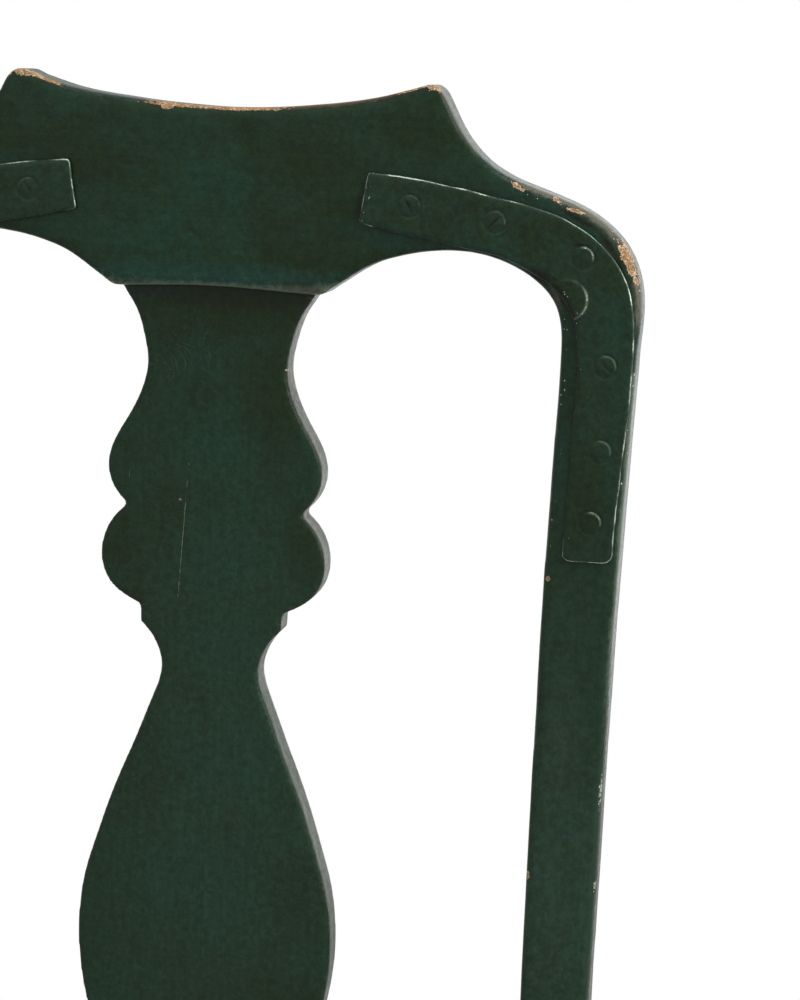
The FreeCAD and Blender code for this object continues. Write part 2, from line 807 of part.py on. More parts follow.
def make_front_leg():
    """A square block, a bowed leg lofted through its sections, and a turned pad foot."""
    sections = []
    for number, (half_share, squareness, lean_share, height_share) in enumerate(leg_section_shares, start=1):
        sketch = doc.addObject("Sketcher::SketchObject", "leg_section_" + str(number))
        sketch.setExpression("Placement.Base.z", (knee_height * height_share).formula)
        width = size.leg_block_width
        sketch.addGeometry(section_curve(width * half_share, squareness, width * lean_share), False)
        sections.append(sketch)
    bow = doc.addObject("Part::Loft", "front_leg_bow")
    bow.Sections = sections
    bow.Solid = True
    block = box(
        "front_leg_block",
        (leg_inner, front_face, knee_height), (size.front_half_width, leg_back, rail_top))
    foot = new_body("front_leg_foot")
    sketch = new_sketch(foot, "XZ_Plane")
    profile = placed(foot_profile_shares, size.foot_radius, as_size(0), size.foot_height)
    top = (as_size(0), profile[-1][1] + size.foot_height * leg_section_shares[-1][3])
    floor_point = (as_size(0), as_size(0))
    draw_loop(sketch, [profile, [profile[-1], top], [top, floor_point], [floor_point, profile[0]]])
    turned = foot.newObject("PartDesign::Revolution", "front_leg_foot_turned")
    turned.Profile = sketch
    turned.ReferenceAxis = (sketch, ["V_Axis"])
    lean = size.leg_block_width * foot_lean_share
    foot.setExpression("Placement.Base.x", (leg_middle + lean).formula)
    foot.setExpression("Placement.Base.y", (leg_middle_depth - lean).formula)
    return fused("front_leg_blank", block, bow, foot)


# Knee brackets
bracket_shares = [(0.0, 1.0), (0.14, 0.62), (0.42, 0.38), (0.76, 0.24), (1.0, 0.0)]


def make_front_bracket():
    body = new_body("knee_bracket_front")
    curve = [(leg_inner - size.bracket_reach * along, rail_bottom - size.bracket_drop * down)
             for along, down in bracket_shares]
    corner = (leg_inner, rail_bottom)
    outline = [curve, [curve[-1], corner], [corner, curve[0]]]
    pad(body, "XZ_Plane", -(front_rail_middle + size.bracket_thickness / 2), outline, size.bracket_thickness)
    return body


def make_side_bracket():
    """The bracket under the side rail, cut to the rail's slant."""
    body = new_body("side_bracket_template")
    curve = [(leg_back + size.bracket_reach * along, rail_bottom - size.bracket_drop * down)
             for along, down in bracket_shares]
    corner = (leg_back, rail_bottom)
    outline = [curve, [curve[-1], corner], [corner, curve[0]]]
    pad(body, "YZ_Plane", 0, outline, size.front_half_width + size.template_overrun)
    bar = slanted_bar(
        "side_bracket_bar", size.bracket_thickness / 2, leg_back + size.bracket_reach + size.template_overrun,
        leg_back, rail_bottom - size.bracket_drop - size.template_overrun, rail_bottom)
    return common("knee_bracket_side", body, bar)


# Stretchers: shares of the length and of the largest radius, from the end to the middle
stretcher_shares = [(0.16, 0.0), (0.24, 0.32), (0.33, 0.62), (0.42, 0.88), (0.5, 1.0)]


def make_stretcher(name, start, end):
    """A turned stick between two points. Its ends are plain tenons."""
    across = end - start
    length = as_size(across.Length)
    body = new_body(name)
    sketch = new_sketch(body, "XY_Plane")
    swell = size.stretcher_radius - size.stretcher_end_radius
    half = [(length * along, size.stretcher_end_radius + swell * out) for along, out in stretcher_shares]
    other_half = [(length - along, radius) for along, radius in reversed(half[:-1])]
    curve = half + other_half
    first = (as_size(0), size.stretcher_end_radius)
    last = (length, size.stretcher_end_radius)
    centre_end = (length, as_size(0))
    centre_start = (as_size(0), as_size(0))
    draw_loop(sketch, [
        [first, curve[0]], curve, [curve[-1], last], [last, centre_end], [centre_end, centre_start],
        [centre_start, first],
    ])
    turned = body.newObject("PartDesign::Revolution", name + "_turned")
    turned.Profile = sketch
    turned.ReferenceAxis = (sketch, ["H_Axis"])
    body.Placement = Placement(start, Rotation(Vector(1, 0, 0), across))
    return body


def post_middle_depth(height):
    """The middle of the rear leg's depth, where it kicks back below its bend."""
    below = 1 - height.number / post_bend.number
    slant = size.post_kick.number * below * below
    taper = (size.post_depth.number - size.post_foot_depth.number) / 2 * below
    return (size.crest_proud.number + post_front.number) / 2 + slant + taper


# Corner irons: outer and inner edges in shares of the back's half width and the crest's height
iron_outer_shares = [
    (0.362, 0.579), (0.502, 0.548), (0.653, 0.491), (0.769, 0.437), (0.862, 0.353), (0.928, 0.235),
    (0.971, 0.077), (0.984, -0.120), (0.980, -0.520), (0.969, -0.830), (0.961, -1.140),
]
iron_inner_shares = [
    (0.845, -1.190), (0.850, -0.918), (0.857, -0.480), (0.8555, -0.174), (0.827, 0.011), (0.777, 0.108),
    (0.705, 0.189), (0.600, 0.244), (0.463, 0.289), (0.343, 0.345),
]
iron_foot_shares = [(0.961, -1.140), (0.958, -1.185), (0.943, -1.207)]
iron_base_shares = [(0.943, -1.207), (0.876, -1.208)]
iron_heel_shares = [(0.876, -1.208), (0.855, -1.205), (0.845, -1.190)]
iron_screw_shares = [
    (0.4565, 0.433), (0.6545, 0.373), (0.858, 0.230), (0.924, -0.276), (0.922, -0.680), (0.907, -1.016),
]
screw_turns_seen = [51.0, -43.0, -20.0, 48.0, -41.0, 30.0]
screw_turns_other = [35.0, -64.0, 12.0, 50.0, -38.0, 75.0]


def make_iron():
    """A flat bar bent round the shoulder, over the joint of crest and post."""
    body = lean_back(new_body("corner_iron_blank"))
    outline = []
    edges = (iron_outer_shares, iron_foot_shares, iron_base_shares, iron_heel_shares, iron_inner_shares)
    for shares in edges:
        outline.append(placed(shares, size.back_half_width, crest_foot, size.crest_height))
    outline.append([outline[-1][-1], outline[0][0]])
    pad(body, "XZ_Plane", -size.crest_proud, outline, size.iron_thickness, backwards=True)

    def rear_rim(point):
        return point.y > size.crest_proud.number + size.iron_thickness.number - size.iron_bevel.number / 2

    ease_edges(body, "Chamfer", size.iron_bevel, rear_rim)
    return body


# Screw: the crown of its head, in shares of the head's radius and of the crown's height
screw_crown_shares = [(0.0, 1.0), (0.6, 0.7), (1.0, 0.0)]


def make_screw():
    """A countersunk screw with a slightly crowned head, standing on its point along Z."""
    body = new_body("iron_screw")
    sketch = new_sketch(body, "XZ_Plane")
    head = size.screw_head_radius
    shank = size.screw_shank_radius
    neck = -size.screw_head_depth
    crown = placed(screw_crown_shares, head, as_size(0), size.screw_crown)
    rim = crown[-1]
    under = (shank, neck)
    taper = (shank, -size.screw_length + shank * 2)
    point = (as_size(0), -size.screw_length)
    draw_loop(sketch, [crown, [rim, under], [under, taper], [taper, point], [point, crown[0]]])
    turned = body.newObject("PartDesign::Revolution", "iron_screw_turned")
    turned.Profile = sketch
    turned.ReferenceAxis = (sketch, ["V_Axis"])
    body.recompute(True)
    half = size.screw_slot_width / 2
    slot = polygon([(-half, -head * 2), (half, -head * 2), (half, head * 2), (-half, head * 2)])
    above = size.screw_crown * 2
    pocket(body, "XY_Plane", above, slot, size.screw_slot_depth + above)
    return body


def make_plug(name, radius, length, head_radius=None, head_height=None):
    """A round pin along Z with its top at zero, and a flat head if it has one."""
    body = new_body(name)
    sketch = new_sketch(body, "XZ_Plane")
    bottom = -length
    if head_radius is None:
        corners = [(as_size(0), as_size(0)), (radius, as_size(0)), (radius, bottom), (as_size(0), bottom)]
    else:
        corners = [
            (as_size(0), as_size(0)), (head_radius, as_size(0)), (head_radius, -head_height),
            (radius, -head_height), (radius, bottom), (as_size(0), bottom),
        ]
    draw_loop(sketch, polygon(corners))
    turned = body.newObject("PartDesign::Revolution", name + "_turned")
    turned.Profile = sketch
    turned.ReferenceAxis = (sketch, ["V_Axis"])
    body.recompute(True)
    return body


def copies(name, source, placements):
    """One group of separate solids: the same fastener in every one of its places."""
    group = doc.addObject("Part::Compound", name)
    links = []
    for number, placement in enumerate(placements, start=1):
        single = doc.addObject("Part::Feature", name + "_" + str(number))
        single.Shape = source.Shape.Solids[0].copy()
        single.Placement = placement
        links.append(single)
    group.Links = links
    return group


def pointing(direction, turn=0.0):
    """Turn a fastener so that its head looks along a direction."""
    return Rotation(Vector(0, 0, 1), direction).multiply(Rotation(Vector(0, 0, 1), turn))


def iron_screw_places(side, turns):
    places = []
    for (across, up), turn in zip(iron_screw_shares, turns):
        point = Vector(
            side * across * size.back_half_width.number,
            size.crest_proud.number + size.iron_thickness.number,
            crest_foot.number + up * size.crest_height.number)
        places.append(back_frame.multiply(Placement(point, pointing(Vector(0, 1, 0), turn))))
    return places


# Pegs, nails and block screws: rows of heights, and shares of the widths that they spread over
side_peg_height_shares = [0.22, 0.78]
cross_peg_height_shares = [0.20, 0.80]
rear_peg_height_shares = [0.50, 1.00]
peg_inset_share = 0.5
middle_nail_shares = [-0.7, 0.7]
side_nail_shares = [0.35, 0.80]
rail_nail_shares = [0.25, 0.50, 0.75]


def peg_places():
    places = []
    tenon_height = size.rail_tenon_height.number
    low = tenon_bottom.number
    front = leg_back.number - peg_inset_share * size.side_tenon_length.number
    rear = post_front.number + peg_inset_share * size.side_tenon_length.number
    for side in (-1, 1):
        outward = pointing(Vector(side, 0, 0))
        for share in side_peg_height_shares:
            height = low + share * tenon_height
            leg_point = Vector(side * size.front_half_width.number, front, height)
            post_point = Vector(side * size.post_outer_half_width.number, rear, height)
            places += [Placement(leg_point, outward), Placement(post_point, outward)]
        for share in cross_peg_height_shares:
            across = leg_inner.number + peg_inset_share * size.front_tenon_length.number
            point = Vector(side * across, front_face.number, low + share * tenon_height)
            places.append(Placement(point, pointing(Vector(0, -1, 0))))
        for share in rear_peg_height_shares:
            across = size.post_inner_half_gap.number + peg_inset_share * size.front_tenon_length.number
            point = Vector(side * across, size.crest_proud.number, low + share * tenon_height)
            places.append(Placement(point, pointing(Vector(0, 1, 0))))
    return places


def nail_places():
    top = size.seat_height.number
    front = front_rail_middle.number
    rear = rear_rail_front.number - size.cleat_depth.number / 2
    points = []
    for share in middle_nail_shares:
        points.append((share * size.middle_board_half_width.number, front))
        points.append((share * size.middle_board_half_width.number, rear))
    start = size.middle_board_half_width.number
    for side in (-1, 1):
        for share in side_nail_shares:
            points.append((side * (start + share * (leg_inner.number - start)), front))
            points.append((side * (start + share * (size.cleat_half_length.number - start)), rear))
        for share in rail_nail_shares:
            depth = post_front + (leg_back - post_front) * share
            points.append((side * side_line(depth).number, depth.number))
    return [Placement(Vector(across, depth, top), Rotation()) for across, depth in points]


def block_screw_places():
    """One screw through the slanted face of each corner block, towards its leg."""
    places = []
    height = rail_top.number - size.cleat_height.number - size.block_height.number / 2
    for corners, target in ((front_block_corners(), (leg_middle, leg_middle_depth)),
                            (rear_block_corners(), (post_middle, rear_rail_middle))):
        across = (corners[0][0].number + corners[-1][0].number) / 2
        depth = (corners[0][1].number + corners[-1][1].number) / 2
        for side in (-1, 1):
            point = Vector(side * across, depth, height)
            inward = point - Vector(side * target[0].number, target[1].number, height)
            places.append(Placement(point, pointing(inward)))
    return places


# Make the fasteners first, because the wood and the iron are bored with them
doc.recompute()
screw = make_screw()
peg = make_plug("peg", size.peg_radius, size.peg_length)
nail = make_plug(
    "nail", size.nail_shank_radius, size.nail_length, size.nail_head_radius, size.nail_head_height)
block_screw = make_plug(
    "block_screw", size.screw_shank_radius, size.block_screw_length,
    size.screw_head_radius, size.screw_head_depth)
doc.recompute()
screws_left = copies("iron_screws_left", screw, iron_screw_places(1, screw_turns_other))
screws_right = copies("iron_screws_right", screw, iron_screw_places(-1, screw_turns_seen))
pegs = copies("rail_pegs", peg, peg_places())
nails = copies("seat_nails", nail, nail_places())
block_screws = copies("block_screws", block_screw, block_screw_places())
doc.recompute()

# Stretchers lie between the middles of the legs
rear_socket = Vector(
    post_middle.number, post_middle_depth(size.stretcher_height), size.stretcher_height.number)
ankle_lean = size.leg_block_width.number * leg_socket_share
front_socket = Vector(
    leg_middle.number + ankle_lean, leg_middle_depth.number - ankle_lean, size.stretcher_height.number)
side_middle = (rear_socket + front_socket) / 2
opposite_middle = Vector(-side_middle.x, side_middle.y, side_middle.z)
rear_height = size.rear_stretcher_height
rear_end = Vector(post_middle.number, post_middle_depth(rear_height), rear_height.number)
opposite_rear_end = Vector(-rear_end.x, rear_end.y, rear_end.z)
side_stretcher = make_stretcher("side_stretcher_blank", front_socket, rear_socket)
cross_stretcher = make_stretcher("cross_stretcher", opposite_middle, side_middle)
rear_stretcher = make_stretcher("rear_stretcher", opposite_rear_end, rear_end)
doc.recompute()

# Tenon lines used as cutters, larger than the tenons by the clearance
mortise_reach = size.front_tenon_length + size.joint_clearance
front_mortise = cross_tenon(
    "front_rail_mortise", leg_inner, mortise_reach, front_rail_middle,
    tenon_bottom, tenon_top, size.joint_clearance)
rear_mortise = cross_tenon(
    "rear_rail_mortise", size.post_inner_half_gap, mortise_reach, rear_rail_middle,
    tenon_bottom, rail_top, size.joint_clearance)
side_mortise = make_side_mortise()

# Blanks
crest_blank = make_crest_blank()
splat = make_splat()
shoe = make_shoe()
post_blank = make_post()
leg_blank = make_front_leg()
rear_rail_blank = make_rear_rail()
front_rail_blank = make_front_rail()
side_rail_blank = make_side_rail()
cleat_blank = make_cleat()
middle_board_blank = make_middle_board()
side_board_blank = make_side_board()
front_block_blank = make_corner_block("front_block", front_block_corners())
rear_block_blank = make_corner_block("rear_block", rear_block_corners())
iron_blank = make_iron()
front_bracket = make_front_bracket()
side_bracket = make_side_bracket()

# Finished pieces: blanks with their mortises, sockets and fastener holes
crest = cut("crest_rail", crest_blank, screws_left, screws_right)
post = cut("rear_post_left", post_blank, screws_left, side_mortise, rear_mortise, pegs, block_screws,
           side_stretcher, rear_stretcher)
post_right = cut("rear_post_right", mirrored("post_mirrored", post_blank), screws_right,
                 mirrored("side_mortise_mirrored", side_mortise), rear_mortise, pegs, block_screws,
                 mirrored("side_stretcher_mirrored", side_stretcher), rear_stretcher)
leg = cut("front_leg_left", leg_blank, side_mortise, front_mortise, pegs, block_screws, side_stretcher)
leg_right = mirrored("front_leg_right", leg)
rear_rail = cut("rear_rail", rear_rail_blank, pegs, post, post_right)
front_rail = cut("front_rail", front_rail_blank, pegs, nails)
side_rail = cut("side_rail_left", side_rail_blank, pegs, nails, block_screws, post)
side_rail_right = mirrored("side_rail_right", side_rail)
cleat = cut("rear_cleat", cleat_blank, nails)
middle_board = cut("seat_board_middle", middle_board_blank, nails)
side_board = cut("seat_board_left", side_board_blank, nails)
side_board_right = mirrored("seat_board_right", side_board)
front_block = cut("corner_block_front_left", front_block_blank, block_screws)
rear_block = cut("corner_block_rear_left", rear_block_blank, block_screws, post)
front_block_right = mirrored("corner_block_front_right", front_block)
rear_block_right = mirrored("corner_block_rear_right", rear_block)
stretcher_left = cut("side_stretcher_left", side_stretcher, cross_stretcher)
stretcher_right = mirrored("side_stretcher_right", stretcher_left)
iron = cut("corner_iron_left", iron_blank, screws_left)
iron_right = cut("corner_iron_right", mirrored("corner_iron_mirrored", iron_blank), screws_right)
front_bracket_right = mirrored("knee_bracket_front_right", front_bracket)
side_bracket_right = mirrored("knee_bracket_side_right", side_bracket)
doc.recompute()

sub_parts = {
    "crest_rail": crest,
    "splat": splat,
    "splat_shoe": shoe,
    "rear_post_left": post,
    "rear_post_right": post_right,
    "front_leg_left": leg,
    "front_leg_right": leg_right,
    "rear_rail": rear_rail,
    "front_rail": front_rail,
    "side_rail_left": side_rail,
    "side_rail_right": side_rail_right,
    "rear_cleat": cleat,
    "seat_board_left": side_board,
    "seat_board_middle": middle_board,
    "seat_board_right": side_board_right,
    "corner_block_front_left": front_block,
    "corner_block_front_right": front_block_right,
    "corner_block_rear_left": rear_block,
    "corner_block_rear_right": rear_block_right,
    "knee_bracket_front_left": front_bracket,
    "knee_bracket_front_right": front_bracket_right,
    "knee_bracket_side_left": side_bracket,
    "knee_bracket_side_right": side_bracket_right,
    "side_stretcher_left": stretcher_left,
    "side_stretcher_right": stretcher_right,
    "cross_stretcher": cross_stretcher,
    "rear_stretcher": rear_stretcher,
    "corner_iron_left": iron,
    "corner_iron_right": iron_right,
    "iron_screws_left": screws_left,
    "iron_screws_right": screws_right,
    "rail_pegs": pegs,
    "seat_nails": nails,
    "block_screws": block_screws,
}

# Check every object before anything is written
for item in doc.Objects:
    if "Invalid" in item.State or "Error" in item.State:
        raise RuntimeError(item.Name + " failed: " + str(item.State))
for label, piece in sub_parts.items():
    piece.Label = label
    if piece.Shape.isNull() or not piece.Shape.isValid():
        raise RuntimeError(label + " has no valid shape")

# Set the origin on the floor under the middle of the whole chair
extents = [piece.Shape.optimalBoundingBox(False) for piece in sub_parts.values()]
middle_depth = (min(extent.YMin for extent in extents) + max(extent.YMax for extent in extents)) / 2
to_origin = Placement(Vector(0, -middle_depth, 0), Rotation())
for label, piece in sub_parts.items():
    piece.Placement = to_origin.multiply(piece.Placement)
    piece.Shape.exportStep("parts/" + label + ".step")
    print(label, len(piece.Shape.Solids), round(piece.Shape.Volume))
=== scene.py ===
"""High-back chair in worn dark green paint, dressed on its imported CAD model."""

import math

import bmesh
import bpy
import numpy as np
from bpy.props import FloatProperty, FloatVectorProperty, IntProperty, PointerProperty
from mathutils import Euler, Matrix, Vector, noise


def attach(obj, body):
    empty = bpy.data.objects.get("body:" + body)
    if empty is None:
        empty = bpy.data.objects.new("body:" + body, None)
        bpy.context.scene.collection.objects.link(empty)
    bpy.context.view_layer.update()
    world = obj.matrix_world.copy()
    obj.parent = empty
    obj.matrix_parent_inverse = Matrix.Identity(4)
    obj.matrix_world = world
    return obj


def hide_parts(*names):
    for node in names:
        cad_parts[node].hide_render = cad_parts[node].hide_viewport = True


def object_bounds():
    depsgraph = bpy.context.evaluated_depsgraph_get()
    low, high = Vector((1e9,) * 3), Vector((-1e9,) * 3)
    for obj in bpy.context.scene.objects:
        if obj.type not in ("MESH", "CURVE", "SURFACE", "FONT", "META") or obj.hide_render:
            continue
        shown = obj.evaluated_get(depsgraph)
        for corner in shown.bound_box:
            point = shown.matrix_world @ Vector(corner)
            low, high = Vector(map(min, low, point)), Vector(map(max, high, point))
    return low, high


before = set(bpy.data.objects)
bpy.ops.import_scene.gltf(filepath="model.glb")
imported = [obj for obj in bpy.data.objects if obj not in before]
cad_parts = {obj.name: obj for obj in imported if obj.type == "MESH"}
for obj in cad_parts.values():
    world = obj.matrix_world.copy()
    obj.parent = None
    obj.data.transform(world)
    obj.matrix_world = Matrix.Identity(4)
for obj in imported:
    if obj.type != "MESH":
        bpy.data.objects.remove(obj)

cad_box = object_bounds()

bl_info = {
    "name": "High-back chair",
    "version": (1, 0, 0),
    "blender": (4, 5, 0),
    "location": "View3D > Sidebar > Chair",
    "description": "Builds the painted chair, its corner irons and its plain studio",
    "category": "Object",
}

MM = 0.001

# Points nearer to each other than this are one
weld = 0.001 * MM

# How far the floor lies below the feet
floor_drop = 0.3 * MM

# Size of the nicks in the wood, and of its long and its short swellings
nick_size, long_swell, short_swell = 11 * MM, 60 * MM, 17 * MM

# Marks lie this far out from the splat's rear face, and reach this far in and out
mark_middle, mark_depth, chip_depth, pale_chip_depth = 4 * MM, 14 * MM, 9 * MM, 7 * MM


# Sizes and colours

def colour(name, description, default):
    return FloatVectorProperty(
        name=name, description=description, default=default, size=3, subtype="COLOR", min=0.0, max=1.0)


def length(name, description, default):
    return FloatProperty(name=name, description=description, default=default, unit="LENGTH", precision=5)


def place(name, description, default):
    return FloatVectorProperty(
        name=name, description=description, default=default, size=3, subtype="TRANSLATION", unit="LENGTH")


def number(name, description, default):
    return FloatProperty(name=name, description=description, default=default)


def rounds(name, description, default):
    return IntProperty(name=name, description=description, default=default)


def angle(name, description, default):
    return FloatProperty(
        name=name, description=description, default=math.radians(default), subtype="ANGLE", unit="ROTATION")


class ChairShape(bpy.types.PropertyGroup):
    back_lean: angle("Back lean", "How far the back leans rearwards", 7.0)
    back_foot: place(
        "Back foot", "Where the back's rear plane meets the seat's height", (0.0, 0.161386, 0.460))
    back_fineness: length("Back fineness", "Mesh size of the crest rail and the rear posts", 1.6 * MM)
    back_easing: rounds("Back easing", "How far the back's edges are rounded", 14)
    peak_reach: length("Peak reach", "How far below the crest's peaks its corners stay crisp", 9.0 * MM)
    foot_droop: length("Foot droop", "How far the crest's foot dips towards its two ends", 1.6 * MM)
    splat_fineness: length("Splat fineness", "Mesh size of the splat", 1.5 * MM)
    splat_reach: length("Splat reach", "How far the splat's top is stretched into the crest", 2.0 * MM)
    iron_fineness: length("Iron fineness", "Mesh size of the corner irons", 0.48 * MM)
    screw_fineness: length("Screw fineness", "Mesh size of the irons' screws", 0.5 * MM)
    wood_fineness: length("Wood fineness", "Mesh size of the legs and small wooden pieces", 2.2 * MM)
    board_fineness: length("Board fineness", "Mesh size of the rails and seat boards", 3.0 * MM)
    unevenness: length("Unevenness", "How far hand-planed wood swells and dips", 0.16 * MM)
    nick_depth: length("Nick depth", "How deep the nicks in the edges are", 0.5 * MM)
    iron_easing: rounds("Iron easing", "How far the irons' edges are rounded", 26)
    screw_ring: length("Screw ring", "Radius of the dished ring around each screw", 6.5 * MM)
    screw_dish: length("Screw dish", "How deep the iron is dished at the screws", 0.28 * MM)
    screw_groove: length("Screw groove", "How deep the paint sinks around the screw heads", 0.16 * MM)
    screw_sink: length("Screw sink", "How far the screws lie under the paint that bridges them", 0.6 * MM)
    bend_swell: length("Bend swell", "How far the iron stands up at the inside of its bend", 1.1 * MM)
    bend_radius: length("Bend radius", "Radius of the swelling at the bend", 10.4 * MM)
    strap_reach: length("Strap reach", "How far the strap's end is hammered out inwards", 1.0 * MM)
    shoulder_easing: rounds("Shoulder easing", "How much further the shoulders' edges are worn round", 26)


class ChairColours(bpy.types.PropertyGroup):
    green: colour("Green", "The paint as it is on most of the wood", (0.0071, 0.0207, 0.0092))
    # Teal is a cast of the paint, and along the crest's foot also a painted highlight
    teal_and_highlight: colour("Teal", "The bluer cast of the paint in patches", (0.0066, 0.0275, 0.0185))
    olive: colour("Olive", "The browner cast of the paint where it is thin", (0.0056, 0.0140, 0.0036))
    # Rubbed paint is worn paint on the edges, and on the crest's foot and the irons' upper and outer edges
    # also a painted highlight
    rubbed_and_highlight: colour("Rubbed paint", "Paint rubbed pale along the edges", (0.075, 0.100, 0.072))
    # Faded paint is bleached paint, and on the crest's slopes and shoulders and the splat's right side also
    # a painted highlight on the rounded edges
    faded_and_highlight: colour("Faded paint", "Paint bleached beige on the rounded shoulders", (0.088, 0.084, 0.064))
    # Grime is dirt, and also painted shade under the crest, beside the irons, in the screw slots and inside
    # the irons' bends
    grime_and_shade: colour("Grime", "Dirt held in corners and along the irons", (0.0046, 0.0042, 0.0022))
    bare_wood: colour("Bare wood", "Wood where the paint has gone", (0.31, 0.165, 0.070))
    old_wood: colour("Old wood", "Bare wood darkened by hands and dirt", (0.055, 0.030, 0.015))
    pale_chip: colour("Pale chip", "Pale ground at the rim of a chip", (0.62, 0.54, 0.40))
    fleck: colour("Fleck", "Small pale flecks along the edges", (0.42, 0.46, 0.38))
    iron_paint: colour("Iron paint", "The paint on the irons", (0.0073, 0.0192, 0.0084))
    # Bare iron is metal rubbed bright, laid most on the edges turned up and outwards, so it is partly a
    # painted highlight
    bare_iron_and_highlight: colour("Bare iron", "Iron rubbed bright on its edges", (0.36, 0.43, 0.36))
    soft_wood: colour("Soft wood", "Unpainted wood under the seat", (0.36, 0.235, 0.125))
    steel: colour("Steel", "Dull steel of the screws under the seat", (0.26, 0.24, 0.22))


class ChairStage(bpy.types.PropertyGroup):
    camera_place: place("Camera place", "Where the camera stands", (-0.30293, 1.41661, 0.97677))
    camera_turn: FloatVectorProperty(
        name="Camera turn", description="How the camera is turned",
        default=(math.radians(87.190), math.radians(-3.352), math.radians(-169.948)),
        size=3, subtype="EULER", unit="ROTATION")
    lens: number("Lens", "Focal length in millimetres", 90.0)
    surround: number("Surround", "Level of the light from all round", 0.5)
    floor_radius: length("Floor radius", "Radius of the round floor", 2.2)
    floor_fade: length("Floor fade", "Radius at which the floor starts to fade to white", 0.9)
    lamp_aim: number("Lamp aim", "Share of the chair's height that the lamps point at", 0.8)


def lamp_values(lamp, where, power, width):
    """The values of one lamp, as the stage's other ones are written."""
    label = lamp.title()
    return {
        lamp + "_place": place(label + " place", "Where the " + lamp + " lamp hangs", where),
        lamp + "_power": number(label + " power", "Power of the " + lamp + " lamp", power),
        lamp + "_size": length(label + " size", "Width of the " + lamp + " lamp", width),
    }


# Where each lamp hangs, its power and its width
lamps = {
    "side": ((-1.80, 0.72, 1.60), 34.0, 0.9),
    "top": ((-0.35, 0.95, 2.75), 24.0, 1.0),
    "rear": ((0.9, 2.4, 1.9), 9.0, 1.6),
    "front": ((-0.70, -2.30, 1.55), 15.0, 2.4),
}

for lamp, given in lamps.items():
    ChairStage.__annotations__ |= lamp_values(lamp, *given)


def shape():
    return bpy.context.scene.chair_shape


def colours():
    return bpy.context.scene.chair_colours


def stage_values():
    return bpy.context.scene.chair_stage


# Places on the back, in millimetres: across (negative to the sitter's right) and up along the back

# Middle of the swelling in the right iron's bend
iron_swelling = (-171.8, 563.0)

# Middle of a shoulder, and how far its wear reaches
shoulder = (198.0, 582.0, 44.0)

# Crisp edges come in between these pairs: across and up at the crest's foot, and down the posts
foot_across, foot_up, crisp_posts = (100, 78), (577, 565), (470, 430)

# How far across the crest's foot starts to dip, and where it dips in full
foot_dips = (5, 55)

# How far up the splat's top starts to be stretched, and where it is stretched in full
splat_stretch = (553, 559)

# How far across an iron's strap reaches, and how far down its leg does
strap_end, leg_end = 78, 449

# Where an iron's upper edge starts and ends, from its face
upper_edge = (-1.6, -0.4)

# How far a screw's crown stands over the iron's face, how far its slot can reach below it, and how far
# over it the paint stands in a closed slot
crown, slot_depth, slot_fill = 0.5, 2, 0.35

# Radii round a screw: where its slot closes, its rim, which carries a painted highlight on its upper outer
# side, and the groove round it, where its head slopes down and the iron is plain again, and the width that
# a head's lean is measured by
slot_closes, head_rim, head_groove = 4.7, 4.9, 5.6
head_slope, plain_iron, head_lean = (5.4, 4.2), (4.6, 6), 7.2

# Screws of an iron: across and up, how deep the slot is open, how far the head stands out, and
# how much further its upper outer rim does
screw_heads = {
    "end of the strap": (94.5, 603.6, 1.00, 0.12, 0.06),
    "middle of the strap": (135.7, 598.0, 0.90, 0.12, 0.14),
    "shoulder": (178.4, 583.1, 0.02, 0.45, 0.52),
    "below the bend": (191.4, 532.3, 0.40, 0.20, 0.30),
    "middle of the leg": (191.0, 491.6, 0.34, 0.20, 0.26),
    "foot": (188.0, 457.1, 0.02, 0.65, 0.45),
}

# A mark is an ellipse: its place, its half length across, its half width up, and its turn in degrees.
# Tints give their colour, its strength and how softly it fades. Edges give their colour, its strength and
# where it starts and is full, as turned() measures it.

